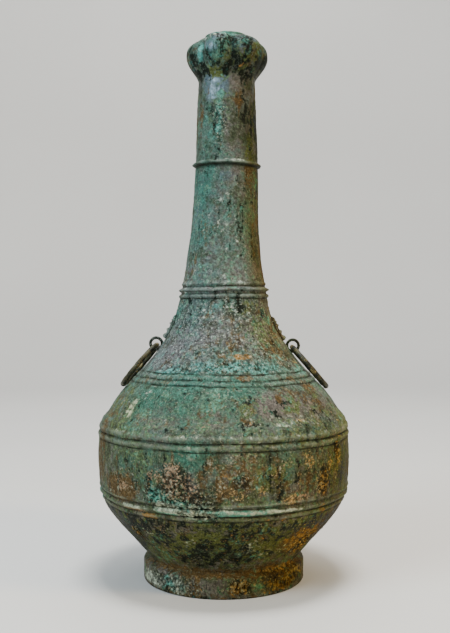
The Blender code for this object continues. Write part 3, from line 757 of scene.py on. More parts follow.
# %% Marks on the side that shows
# For each kind: azimuth, height, half the width, half the height, strength.
MARKS = {
    # Bright blue-green blooms: left clove, streaks down the neck, shoulder, ridge over the bowl.
    "verdigris": [
        (-47, 403, 2.4, 7, 1.1), (-18, 399, 7, 4, .46), (-3, 402, 4, 4, .2), (32, 403, 8, 7, .0),
        (-32, 405, 5, 4, .45), (-7, 417, 14, 3, .4), (-13, 371, 3, 4, .42), (-14, 357, 4, 8, .52),
        (-14, 345, 3, 6, .5), (-45, 352, 3, 8, .5), (-34, 338, 7, 6, .42), (-5, 167, 20, 5, .66),
        (-30, 163, 24, 4.5, .54), (24, 165.5, 18, 5, .5), (69, 163, 12, 5, .6), (-5, 151, 35, 6, .16),
        (-12, 209, 5, 5, .45), (57, 181, 5, 5, .5), (-29, 80, 9, 5, .8), (-16, 74, 14, 4, .8),
        (-8, 67, 10, 3, .8), (2, 69.5, 32, 2, 1.15), (-20, 70, 14, 3, 1.0), (-80, 68, 8, 6, .7),
        (-14, 109, 9, 7, .5), (-40, 9, 14, 6, .6), (25, 7, 5, 5, .6),
    ],
    # Thin blue-green stain, widest on the upper belly. Weak marks keep it off the brown places.
    "teal": [
        (-30, 148, 40, 14, .74), (-5, 150, 28, 9, .58), (2, 405, 6, 7, .8), (-70, 405, 12, 10, .7),
        (-45, 395, 8, 8, .6), (-22, 399, 10, 8, .62), (34, 405, 10, 8, .12), (14, 406, 3, 8, .6),
        (-30, 140, 40, 10, .7), (-14, 109, 16, 10, .9), (-35, 100, 25, 12, .5), (-59, 288, 10, 22, .8),
        (-41, 310, 10, 12, .7), (-40, 260, 12, 25, .6), (-75, 300, 12, 60, .6), (-60, 330, 10, 25, .5),
        (-75, 208, 8, 8, .9), (-40, 345, 12, 22, .5), (5, 151, 9, 6, .95), (26, 96, 8, 6, .6),
        (41, 88, 8, 7, .6), (45, 100, 10, 15, .4), (3, 158, 25, 3, .8), (0, 175, 20, 7, .55),
        (52, 138, 30, 16, .14), (30, 142, 12, 9, .2), (20, 141, 5, 10, .0), (49, 135, 6, 7, .0),
        (70, 260, 14, 60, .15), (62, 350, 10, 35, .1), (15, 350, 8, 25, .2), (22, 300, 7, 14, .25),
        (14, 38, 13, 10, .6), (-14, 40, 12, 8, .45), (65, 100, 25, 25, .15), (-30, 160, 30, 4, .7),
        (-20, 240, 14, 12, .5),
    ],
    # Blue-grey polished metal at the top of the neck and on the front cloves.
    "steel": [
        (-30, 378, 9, 11, 1.0), (-14, 379, 13, 9, .95), (-6, 409, 11, 5, .9), (-18, 408, 8, 5.5, 1.4),
        (33, 408, 9, 6, .95), (-45, 305, 7, 8, .5), (-55, 280, 6, 12, .5), (-5, 377, 14, 8, .75),
        (0, 308, 8, 5, .5), (24, 380, 8, 9, .0),
    ],
    # Purple-grey skin on the shoulder and in patches on the upper belly.
    "mauve": [
        (30, 141, 24, 11, .66), (20, 141.5, 5, 11, 1.0), (49, 134.5, 6, 6, .9), (26, 141, 4, 6, .8),
        (-5, 139, 14, 6, .6), (10, 148, 9, 6, .5), (-18, 133, 8, 5, .7), (-55, 6, 16, 7, .8),
        (38, 401, 10, 8, .7), (17, 380, 8, 7, .8), (11, 311, 7, 8, .7), (21, 145, 10, 8, .9),
        (-31, 134, 25, 8, .65), (34, 136, 16, 8, .8), (-8, 131, 22, 6, .6), (-2, 223, 40, 2.5, .8),
        (0, 190, 35, 12, .5), (-35, 175, 30, 14, .6), (-55, 170, 25, 12, .8), (5, 262, 14, 30, .4),
        (-4, 218, 22, 3, .6), (-12, 6, 14, 7, .9), (37, 3, 14, 4, .8), (50, 142, 8, 6, .6),
        (-10, 340, 6, 14, .4), (15, 340, 6, 20, .4),
    ],
    # Brown earth, mostly on the right side, on the bowl and over the foot.
    "earth": [
        (30, 143, 5, 5, .8), (9, 131, 6, 4, .55), (42, 146, 6, 6, .7), (12, 138, 5, 6, .5),
        (57, 137, 8, 8, .6), (58, 150, 7, 6, .7), (64, 50, 16, 14, .85), (46, 44, 18, 14, .85),
        (56, 379, 9, 8, .35), (48, 310, 9, 10, .7), (60, 350, 9, 30, .4), (66, 272, 12, 45, .55),
        (80, 255, 10, 30, .6), (85, 235, 12, 20, .7), (-68, 359, 6, 25, .45), (47, 42, 20, 15, .75),
        (48, 145, 12, 8, .5), (23, 366, 8, 5, .5), (-50, 81, 18, 9, 1.0), (-70, 101, 12, 24, .8),
        (49, 178, 14, 12, .6), (78, 195, 14, 16, .8), (34, 149, 8, 6, .6), (13, 159, 6, 3, .8),
        (43, 157, 8, 3, .7), (1, 93, 20, 12, .5), (34, 80, 25, 12, .5), (1, 18, 60, 3, .9),
        (46, 18, 40, 4, .8), (52, 36, 14, 14, .6), (-78, 401, 6, 8, .6), (60, 398, 14, 12, .4),
        (58, 372, 8, 22, .15),
    ],
    # Rust-coloured spots and streaks.
    "rust": [
        (26, 391.5, 2.5, 2.5, .55), (15, 173.5, 8.5, 3.5, .95), (-34, 64.6, 9, 2.2, .92),
        (20, 63, 20, 2, .5), (48, 87, 7, 11, .8), (58, 106, 5, 8, .8), (1, 93, 8, 7, .5),
        (13, 129.6, 6, 2, .7), (50, 66, 7, 5, .8), (47, 42, 18, 14, .86), (52, 32, 9, 7, .8),
        (11, 9, 7, 6, 1.0), (47, 9, 20, 7, .8), (-48, 47, 4, 7, .7), (43, 18, 20, 3, .7),
        (-10, 17, 10, 3, .5), (60, 165, 5, 5, .4), (23, 366, 4, 3, .3), (68, 168, 6, 5, .5),
    ],
    # Pinkish tan crust at the lower left, and single flecks.
    "pink": [
        (-18, 90, 15, 13, .55), (-21, 95, 8, 9, .8), (-14, 84, 12, 7, .75), (-30, 92, 8, 5, .5),
        (7, 91.5, 4, 3, .7), (64, 132, 3, 5, .6), (50, 142, 3, 4, .45), (37, 131, 8, 1.2, .65),
        (-10, 128, 8, 3, .5), (34, 78, 10, 4, .6), (-48, 48, 3, 6, .7), (-42, 67.5, 10, 1.8, 1.2),
        (12, 128.5, 5, 1.5, .8), (-48, 84, 9, 3, .5),
    ],
    # Chalky crust on the ridges and the foot, and one cream patch on the upper belly. The thin marks along
    # the tops of the ribs are partly painted highlight.
    "pale": [
        (22, 133, 24, 5, .42), (45, 131, 14, 4, .46), (-22, 71, 12, 2.4, 1.1),
        (-20, 69.5, 14, 1.6, 1.1), (-51, 136, 5.5, 10, .78), (-45, 147, 4, 9, .5),
        (38, 139.5, 5, 8, .5), (12, 137, 5, 6, .45), (24, 128, 20, 2, .5), (-7, 415, 12, 2.5, .3),
        (-26, 73, 10, 2.6, .95), (-10, 72, 10, 2.4, .9), (-10, 67.5, 12, 3, 1.1), (2, 72, 30, 2, .6),
        (20, 69.6, 30, 1.6, 1.0), (-43, 69.2, 10, 1.6, 1.1), (-62, 7, 18, 6, .86), (-31, 8, 10, 6, .66),
        (5, 274, 10, 8, .3), (-3, 293, 6, 6, .35), (-3, 321, 24, 1, .5), (-38, 50, 6, 5, .6),
        (14, 41, 13, 9, .5), (-13, 44, 12, 8, .45), (30, 36, 14, 7, .5), (0, 121, 90, 1.2, .45),
        (0, 228, 36, 1.5, .45),
    ],
    # Black gloss under the head, on the bowl, and in blots. Under the head and on the bowl it is partly
    # painted shade.
    "black": [
        (-8, 413, 8, 2.5, .8), (0, 409, 6, 4, .66), (-13, 393, 9, 5, .52), (8, 391, 7, 5, .64),
        (35, 394, 14, 10, .56), (30, 412, 9, 3, .7), (-62, 394, 10, 9, .75), (-75, 407, 8, 4, .7),
        (80, 300, 6, 40, .45), (70, 345, 6, 30, .55), (80, 392, 14, 10, .6), (-30, 396, 6, 4, .5),
        (-24, 374, 16, 12, .0), (-46, 130, 14, 12, .0), (1, 53, 45, 10, .34), (30, 42, 15, 8, .18),
        (-50, 56, 35, 10, .7), (-80, 50, 30, 15, .6), (41, 352, 7, 10, .5), (55, 345, 5, 30, .4),
        (20, 208.9, 5, 3, .6), (52, 204, 5, 4, .6), (-10, 79, 5, 4, .3), (31, 141, 5, 4, .6),
        (24, 136, 4, 4, .5), (18, 89, 13, 8, .62), (40, 97, 7, 8, .5), (62, 88, 8, 9, .5),
        (40, 403, 10, 8, .5), (-24, 77, 7, 3, .35), (-18, 87, 16, 12, .0), (75, 60, 20, 8, .5),
        (-12, 30, 40, 8, .5),
    ],
    # Moss-green skin on the bowl and the right side.
    "moss": [
        (-11, 48, 16, 9, .9), (13, 48, 22, 12, .86), (27, 40, 22, 11, 1.0), (-30, 38, 18, 8, .6),
        (12, 139, 7, 9, .5), (38, 139, 7, 9, .5), (56, 146, 8, 8, .5), (38, 133, 14, 8, .6),
        (20, 92, 14, 9, .7), (60, 95, 14, 20, .7), (83, 281, 8, 30, .7), (48, 330, 7, 20, .6),
        (75, 120, 20, 15, .6), (26, 394, 8, 6, .6), (-23, 388, 8, 4, .75), (0, 398, 14, 5, .5),
        (55, 402, 14, 9, .7), (75, 330, 8, 50, .6), (50, 130, 30, 12, .42), (-68, 140, 18, 20, .55),
        (-60, 122, 20, 8, .5), (30, 208, 14, 8, .5), (45, 190, 15, 14, .4), (35, 118, 40, 6, .5),
    ],
    # A golden earth stain, on the right side and over the bowl; it is partly painted warm light.
    "gold_stain_and_warm_light": [
        (-51, 136, 7, 10, .5), (75, 95, 62, 26, 1.0), (58, 45, 50, 30, 1.1), (48, 9, 45, 12, 1.0),
        (70, 268, 18, 62, .95), (64, 345, 14, 50, .5), (78, 185, 30, 26, .5), (-45, 9, 32, 9, .1),
        (-12, 95, 45, 14, .1),
    ],
    # A bluish bloom on the shoulder, kept off the right side: partly painted cool light on the left.
    "bluish_bloom_and_cool_light": [
        (68, 185, 40, 34, .1), (72, 265, 18, 80, .0), (-50, 185, 40, 25, 1.0), (-25, 158, 40, 8, .5),
    ],
    # Sparse light flecks on the right side and the foot.
    "ochre": [
        (7, 81, 5, 3.5, .8), (16, 84, 4, 4, .8), (28, 75.5, 7, 3, .85), (33, 90, 4, 5, .7),
        (38, 104, 6, 9, .7), (46, 85, 7, 10, .95), (60, 100, 5, 10, .85), (51, 96, 6, 6, .8),
        (22, 97, 3, 3, .6), (30, 80, 4, 3, .7), (11, 9, 8, 5, .9), (45, 8, 15, 6, .62),
        (30, 11, 8, 4, .7), (62, 12, 14, 4, .8), (40, 17, 22, 3, .45), (46, 40, 14, 12, .6),
        (55, 34, 10, 8, .6), (42, 54, 10, 6, .4), (38, 130, 10, 1.5, .7), (60, 117, 12, 3, .6),
        (64, 128, 4, 6, .6), (50, 142, 3, 4, .5), (60, 185, 10, 8, .45), (70, 170, 8, 6, .5),
        (-8, 97, 8, 6, .45), (2, 84, 6, 4, .6), (-45, 92, 6, 5, .45),
    ],
    # Painted shade: a darkening film on the right side, under the neck ring and the head, and over the bowl
    # and the foot.
    "painted_shade": [
        (0, 166, 50, 9, .2), (58, 92, 34, 22, .46), (46, 9, 34, 9, .84), (44, 140, 40, 14, .36),
        (55, 68, 30, 5, .36), (32, 140, 24, 12, .34), (-5, 138, 60, 15, .3), (55, 134, 24, 12, .2),
        (0, 174, 24, 9, .16), (-52, 68, 16, 4, .22), (62, 345, 20, 42, .75), (52, 398, 24, 20, .6),
        (84, 260, 8, 60, .4), (-66, 44, 36, 17, .6), (74, 52, 30, 16, .9), (5, 8, 24, 8, .5),
        (-10, 317.3, 60, 1.7, .95),
    ],
    # Crust, where the surface is thick and craggy.
    "crust": [
        (-14, 76, 18, 9, 1.0), (-28, 79, 11, 7, .95), (-20, 88, 13, 12, .9), (-8, 68, 12, 5, .8),
        (7, 91, 6, 5, .8), (47, 10, 20, 8, .6), (11, 9, 8, 6, .9), (-40, 8, 22, 7, .7),
        (13, 129, 8, 2, .8), (48, 87, 9, 12, .8), (58, 106, 6, 9, .7), (0, 166, 60, 6, .6),
        (52, 38, 12, 13, .7), (-48, 48, 6, 8, .8), (-14, 352, 6, 16, .6),
    ],
}
print("placed", sum(len(marks) for marks in MARKS.values()), "marks by hand")

# %% Marks on the back
BACK_SEED = 11
BACK_MARKS_PER_COLOUR = 14
chance = random.Random(BACK_SEED)


def back_marks(kind):
    """Patches behind, more of them where the wash of that colour is strong."""
    heights, levels = zip(*WASHES[kind])
    made = []
    while len(made) < BACK_MARKS_PER_COLOUR:
        height = chance.uniform(2.0, 415.0)
        if chance.uniform(0.0, 0.6) < np.interp(height, heights, levels):
            size = chance.uniform(0.06, 0.22) * wall_radius(height * MM) / MM
            stretch = chance.uniform(0.5, 1.3)
            azimuth, strength = chance.uniform(85, 275), chance.uniform(0.3, 0.75)
            made.append((azimuth, height, size / stretch, size * stretch, strength))
    return made


for kind in MARKS:
    MARKS[kind] = back_marks(kind) + MARKS[kind]
print("and", BACK_MARKS_PER_COLOUR * len(MARKS), "by chance on the back")

# %% Read the map


def coverage(kind, points):
    """How strongly a colour covers each point, from 0 to 1: its wash, moved by the marks it lies in."""
    x, y, z = points[:, 0] - lean(points[:, 2]), points[:, 1], points[:, 2] / MM
    azimuth, radius = np.degrees(np.arctan2(x, -y)), np.hypot(x, y) / MM
    heights, levels = zip(*WASHES[kind])
    cover = np.interp(z, heights, levels)
    for centre, height, half_across, half_up, strength in MARKS[kind]:
        steep = math.sqrt(1.0 + wall_slope(height * MM) ** 2)
        across = np.radians((azimuth - centre + 180.0) % 360.0 - 180.0) * radius / half_across
        distance = np.hypot(across, (z - height) * steep / half_up)
        cover = cover + (strength - cover) * smooth((1.5 - distance) / 1.1)
    return cover


print("the map can be read at any point")

# %% [markdown]
# ## Corroded surface
#
# Seen from a step away the metal isn't smooth: it swells gently, it is grainy where corrosion has eaten
# in, craggy where crust has grown, and pitted. Each of these is a Displace modifier with its own
# texture, held to its places by a vertex group. Crust needs finer faces than the rest, so those faces
# are subdivided first, which is cheaper than making the whole vase finer.

# %% Finer faces under the crust
# Where the crust is stronger than each of these, the faces are subdivided once.
CRUST_LIMITS = (0.52, 0.88)

for limit in CRUST_LIMITS:
    crust = coverage("crust", points_of(body))
    x, y, z = points_of(body).T
    walls = np.array([wall_radius(h) if h < HEAD_BASE else LIP_RADIUS for h in z])
    outside = (np.hypot(x - lean(z), y) > walls - 1.3 * MM) | (z < FOOT_TOP)
    rough = (crust > limit) & outside
    only(body)
    bpy.ops.object.mode_set(mode="EDIT")
    bpy.ops.mesh.select_mode(type="FACE")
    bpy.ops.mesh.select_all(action="DESELECT")
    mesh = bmesh.from_edit_mesh(body.data)
    for face in mesh.faces:
        face.select = all(rough[vertex.index] for vertex in face.verts)
    bmesh.update_edit_mesh(body.data)
    bpy.ops.mesh.subdivide(number_cuts=1, quadcorner="INNERVERT")
    bpy.ops.object.mode_set(mode="OBJECT")
print("with crust the body has", triangles(body), "triangles")

# %% Helpers for relief


def soft_texture(name, size, depth, kind="CLOUDS", hard=False):
    """A texture whose lumps are about this size in metres; depth adds finer lumps to them."""
    texture = bpy.data.textures.new(name, kind)
    texture.noise_scale = size
    if kind == "CLOUDS":
        texture.noise_depth = depth
        texture.noise_type = "HARD_NOISE" if hard else "SOFT_NOISE"
    return texture


def displace(piece, name, texture, strength, middle, weights):
    """A Displace modifier along the normals, held to a vertex group that goes once it is applied."""
    group = piece.vertex_groups.new(name=name)
    for index in np.nonzero(weights > 0.01)[0]:
        group.add([int(index)], float(weights[index]), "REPLACE")
    modifier = piece.modifiers.new(name, "DISPLACE")
    modifier.texture = texture
    modifier.texture_coords = "LOCAL"
    modifier.strength = strength
    modifier.mid_level = middle
    modifier.vertex_group = name
    apply_modifiers(piece)
    piece.vertex_groups.remove(piece.vertex_groups[name])


def outer_skin(points):
    """1 on the outer surface, fading to 0 on the standing face, and 0 inside."""
    x, y, z = points.T
    radius = np.hypot(x - lean(z), y)
    wall = np.array([wall_radius(h) if FOOT_TOP < h < HEAD_BASE else LIP_RADIUS - MM for h in z])
    wall = np.where(z < FOOT_TOP, FOOT_RADIUS - MM, wall)
    return smooth((radius - wall + 1.6 * MM) / (0.6 * MM)) * smooth(z / (3.0 * MM))


def near_rings(points):
    """1 where a ring lies close to the wall, which is kept calm there, so that the ring can't sink in."""
    calm = np.zeros(len(points))
    for node in ("left_ring_handle", "right_ring_handle"):
        low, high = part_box(node)
        middle = 0.5 * (low + high)
        across = (points[:, 0] - middle.x) / (high.x - low.x)
        up = (points[:, 2] - middle.z) / (high.z - low.z)
        beside = np.abs(points[:, 1]) < 0.6 * (high.y - low.y)
        calm = np.maximum(calm, smooth(1.6 - 1.6 * np.hypot(across, up)) * beside)
    return calm


print("ready to displace")

# %% Where each kind of relief goes
# The rings on the neck stay crisp: the height of each, and how far up and down from it.
CRISP_RINGS = [(319.5 * MM, 5 * MM), (222.0 * MM, 9 * MM)]
# The head is smoother than the rest, from this height up.
SMOOTH_FROM = 380.0 * MM

points = points_of(body)
skin = outer_skin(points)
calm = 1.0 - 0.85 * near_rings(points)
crisp = [smooth(2.0 * (1.0 - np.abs(points[:, 2] - height) / reach)) for height, reach in CRISP_RINGS]
calm *= 1.0 - 0.7 * np.max(crisp, axis=0)
crust = coverage("crust", points)
smooth_head = 1.0 - 0.75 * smooth((points[:, 2] - SMOOTH_FROM) / (8.0 * MM))
pitted = coverage("teal", points) * coverage("verdigris", points)
print("crust covers", int((crust > 0.5).sum()), "points")

# %% Displace the wall
displace(body, "swell", soft_texture("swell", 26 * MM, 2), 1.2 * MM, 0.5, skin * calm)
before = points_of(body)
displace(body, "grain", soft_texture("grain", 2.4 * MM, 2), 1.5 * MM, 0.5,
         skin * calm * smooth_head * (0.45 + 0.55 * smooth(crust / 0.5)))
displace(body, "craggy", soft_texture("craggy", 3.3 * MM, 3, hard=True), 3.4 * MM, 0.4,
         skin * calm * smooth((crust - 0.30) / 0.6))
displace(body, "pits", soft_texture("pits", 4.0 * MM, 1, "VORONOI"), 1.0 * MM, 0.45,
         skin * calm * smooth_head * smooth((pitted - 0.02) / 0.3))
normals = np.zeros(3 * len(body.data.vertices))
body.data.vertices.foreach_get("normal", normals)
relief = np.sum((points_of(body) - before) * normals.reshape(-1, 3), axis=1) / MM
print("fine relief runs from", round(float(relief.min()), 2), "to", round(float(relief.max()), 2), "mm")

# %% Paint the body with the map
# What covers the metal inside, where the map doesn't reach; every other colour has a little.
INSIDE_DIRT = {"earth": 0.6, "black": 0.5, "teal": 0.3, "crust": 0.2}
INSIDE_OTHER = 0.1


def paint(piece, relief, outer):
    """Store the map's value for every colour on the mesh, for the material to read."""
    points = points_of(piece)
    for kind in WASHES:
        inside = INSIDE_DIRT.get(kind, INSIDE_OTHER)
        write_attribute(piece, kind, coverage(kind, points) * outer + inside * (1.0 - outer))
    write_attribute(piece, "relief", np.clip(relief, -1.0, 1.0))


paint(body, relief, outer_skin(points_of(body)))
shade_smooth_below(body, 50.0)
print("painted", len(body.data.vertices), "points")

# %% [markdown]
# ## Beast masks and their loops
#
# At each shoulder a small beast's face is cast on: curled horns, heavy brows, round eyes, and a broad
# nose that turns out into a loop for the ring. From the front only its stepped edge shows. The face is a
# fine grid wrapped on the wall. Bending it by hand needs the Bend tool, so each vertex is placed by a
# rule instead: across and up the wall for its place, and out from it for the carving. Solidify then
# gives it a back inside the wall.

# %% Carve the face


def bump(u, v, at_u, at_v, half_u, half_v):
    """A round-topped bump of height 1 at a place on the mask."""
    distance = math.hypot((u - at_u) / half_u, (v - at_v) / half_v)
    return math.cos(0.5 * math.pi * distance) ** 2 if distance < 1.0 else 0.0


def ridge(u, v, at_u, at_v, radius, half_width):
    """A round ridge along a circle, as on a curled horn or the rim of an eye."""
    distance = abs(math.hypot((u - at_u) * 1.35, v - at_v) - radius) / half_width
    return math.cos(0.5 * math.pi * distance) ** 2 if distance < 1.0 else 0.0


def beast_relief(u, v):
    """Height of the face as a share of its relief: u is -1 to 1 across, v is 0 at the snout, 1 at the top."""
    side = abs(u)
    half_width = 0.42 + 0.50 * math.sin(0.5 * math.pi * min(v / 0.72, 1.0))
    top = 0.80 + 0.20 * math.sin(math.pi * min(side / 0.9, 1.0))
    inside = min((half_width - side) / 0.08, (top - v) / 0.07, (v + 0.02) / 0.06)
    plate = min(max(inside, -1.0), 1.0) * 0.28
    eyes = 0.34 * bump(side, v, 0.40, 0.46, 0.13, 0.10) + 0.26 * ridge(side, v, 0.40, 0.46, 0.19, 0.06)
    brow = 0.36 * bump(side, v, 0.42 + 0.25 * (v - 0.68), 0.68 + 0.10 * side, 0.46, 0.085)
    horns = 0.36 * ridge(side, v, 0.64, 0.86, 0.12, 0.075) + 0.26 * bump(side, v, 0.64, 0.86, 0.08, 0.06)
    crest = 0.80 * bump(side, v, 0.0, 0.86, 0.17, 0.12) + 0.66 * bump(side, v, 0.0, 0.60, 0.16, 0.12)
    nose = 0.72 * bump(side, v, 0.0, 0.34, 0.20, 0.16) + 0.86 * bump(side, v, 0.0, 0.08, 0.26, 0.22)
    nostrils = 0.28 * bump(side, v, 0.24, 0.12, 0.14, 0.10)
    cheeks = 0.24 * bump(side, v, 0.52, 0.22, 0.16, 0.16)
    whiskers = 0.10 * math.cos(26.0 * v + 8.0 * side) * bump(side, v, 0.66, 0.40, 0.22, 0.30)
    return plate + eyes + brow + horns + crest + nose + nostrils + cheeks + whiskers


print("at the snout the carving is", round(beast_relief(0.0, 0.08), 2), "times its relief, and at an eye",
      round(beast_relief(0.40, 0.46), 2))

# %% Lay it on the wall
MASK_WIDTH = 26.0 * MM
MASK_RISE = 19.0 * MM
MASK_RELIEF = 3.0 * MM
MASK_BACK = 2.2 * MM
# The left loop, -1, sits a little higher than the right one, 1; each mask begins this far above its loop.
LOOP_HEIGHT = {-1: 178.7 * MM, 1: 177.0 * MM}
MASK_LIFT = 6.2 * MM


def on_wall(side, z, across, proud):
    """A point off the wall: across is an angle from the side of the vase, proud is square to the wall."""
    slope = wall_slope(z)
    tilt = math.sqrt(1.0 + slope * slope)
    radius = wall_radius(z) + proud / tilt
    return side * radius * math.cos(across), side * radius * math.sin(across), z - proud * slope / tilt


def make_mask(name, side):
    """One face: a fine grid laid on the wall and carved, with a back inside the wall."""
    bpy.ops.mesh.primitive_grid_add(x_subdivisions=84, y_subdivisions=64, size=2.0)
    piece = added(name)
    points = points_of(piece)
    carved = []
    for point in points:
        u, v = point[0], 0.5 * (point[1] + 1.0)
        height = beast_relief(u, v)
        carved.append(height)
        z = LOOP_HEIGHT[side] + MASK_LIFT + MASK_RISE * v
        point[:] = on_wall(side, z, u * 0.5 * MASK_WIDTH / wall_radius(z), MASK_RELIEF * height)
    set_points(piece, points)
    back = piece.modifiers.new("back", "SOLIDIFY")
    back.thickness = MASK_BACK
    back.offset = -1.0
    group = piece.vertex_groups.new(name="carved")
    for index, height in enumerate(carved):
        group.add([index], max(height, 0.0), "REPLACE")
    apply_modifiers(piece)
    bpy.ops.object.mode_set(mode="EDIT")
    bpy.ops.mesh.select_all(action="SELECT")
    bpy.ops.mesh.normals_make_consistent(inside=False)
    bpy.ops.object.mode_set(mode="OBJECT")
    return piece


left_mask = make_mask("left_mask", -1)
right_mask = make_mask("right_mask", 1)
print("each mask has", triangles(left_mask), "triangles")

# %% [markdown]
# ## The loops
#
# The nose curls out and back into a loop for the ring, a flat strap that is wider than it is thick. It could
# be a curve with a bevelled section. A torus is nearly the same form and quicker: it is set square to the
# wall with its back sunk in, and stretched sideways in edit mode. Then it is joined to its mask.

# %% Loop
LOOP_BAR = 2.3 * MM
LOOP_SEAT = 0.6 * MM
RING_WIRE = 4.0 * MM
RING_PLAY = 1.4 * MM
# How many times wider than thick the strap is.
LOOP_WIDENING = 1.5


def make_loop(name, side):
    """The strap that curls out of the beast's nose: a torus sunk a little into the wall."""
    z = LOOP_HEIGHT[side]
    slope = wall_slope(z)
    hole = 0.5 * RING_WIRE + RING_PLAY
    out = Vector((side, 0.0, -slope)).normalized()
    centre = Vector((side * wall_radius(z), 0.0, z)) + out * (hole + LOOP_SEAT)
    bpy.ops.mesh.primitive_torus_add(
        major_radius=hole + 0.5 * LOOP_BAR, minor_radius=0.5 * LOOP_BAR, major_segments=72,
        minor_segments=20, location=centre, rotation=(math.radians(90.0), 0.0, 0.0))
    piece = apply_place(added(name))
    bpy.ops.object.mode_set(mode="EDIT")
    bpy.ops.mesh.select_all(action="SELECT")
    bpy.ops.transform.resize(value=(1.0, LOOP_WIDENING, 1.0), center_override=(0.0, 0.0, 0.0))
    bpy.ops.object.mode_set(mode="OBJECT")
    return piece


print("a ring has", round(RING_PLAY / MM, 1), "mm of play in its loop")

# %% Join, roughen and paint the masks
# The carving gets painted shade below this share of its height, and painted highlight above it, by this
# contrast.
SHADED_BELOW = 0.42
MASK_CONTRAST = 2.4
# How much of the wall's own patina lies on the masks.
MASK_PATINA = 0.75


def carved_heights(mask):
    """The height of the carving at each vertex, read back from its vertex group."""
    heights = np.zeros(len(mask.data.vertices))
    carved = mask.vertex_groups["carved"].index
    for vertex in mask.data.vertices:
        for group in vertex.groups:
            if group.group == carved:
                heights[vertex.index] = group.weight
    return heights


masks = []
for mask, side in ((left_mask, -1), (right_mask, 1)):
    loop = make_loop(mask.name + "_loop", side)
    mask = join_all(mask.name, [mask, loop])
    displace(mask, "mask_grain", soft_texture("mask_grain", 1.6 * MM, 2), 0.35 * MM, 0.5,
             np.ones(len(mask.data.vertices)))
    heights = carved_heights(mask)
    paint(mask, MASK_CONTRAST * (heights - SHADED_BELOW), np.full(len(heights), MASK_PATINA))
    shade_smooth_below(mask, 50.0)
    masks.append(mask)
print("masks:", [mask.name for mask in masks])

# %% [markdown]
# ## Ring handles
#
# Each ring is a bent bronze rod, worn thin where it has swung in its loop. A torus is the whole form. It
# is added at the solid ring's own place: its middle is the middle of the solid's box, and the line from
# the hinge to that middle says how steeply it hangs.

# %% Rings
RING_RADIUS = 20.25 * MM
RING_WORN = 0.25 * MM
RING_WORN_REACH = 9.0 * MM
LEFT_TWIST = math.radians(2.5)


def make_ring(name, node, joint_name, twist):
    """One ring at its solid's place, hanging as the solid does, worn thin where it runs in the loop."""
    low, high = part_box(node)
    middle = 0.5 * (low + high)
    joint = next(joint for joint in frame["joints"] if joint["name"] == joint_name)
    hinge = Vector(joint["pos_m"])
    hang = math.atan2(middle.z - hinge.z, middle.x - hinge.x)
    bpy.ops.mesh.primitive_torus_add(
        major_radius=RING_RADIUS, minor_radius=0.5 * RING_WIRE, major_segments=128,
        minor_segments=24, location=middle, rotation=(twist, -hang, 0.0))
    piece = apply_place(added(name))
    points = points_of(piece)
    away = np.linalg.norm(points - np.array(hinge), axis=1)
    worn = smooth(1.0 - away / RING_WORN_REACH)
    everywhere = np.ones(len(points))
    displace(piece, "uneven_rod", soft_texture("uneven_rod", 7.0 * MM, 1), 0.6 * MM, 0.5, everywhere)
    displace(piece, "rod_grain", soft_texture("rod_grain", 1.5 * MM, 1), 0.25 * MM, 0.6, everywhere)
    displace(piece, "worn_thin", None, -RING_WORN, 0.0, worn)
    write_attribute(piece, "worn", worn)
    shade_smooth_below(piece, 60.0)
    return piece


left_ring = make_ring("left_ring_cast", "left_ring_handle", "left_ring_swing", LEFT_TWIST)
right_ring = make_ring("right_ring_cast", "right_ring_handle", "right_ring_swing", 0.0)
print("each ring has", triangles(left_ring), "triangles")

# %% [markdown]
# ## A material built in layers
#
# The patina is made as a painter would lay it: a skin of brown-grey bronze below, then one thin colour
# after another. Where each colour goes is the map's value at that point plus noise, cut off sharply. So
# a mark of strength 1 is solid colour, a mark of a half breaks up into blotches and specks, and its edge
# is never a smooth blur. Painting a picture on the mesh would also work, but it would fix the detail to
# one size.

# %% Node helpers


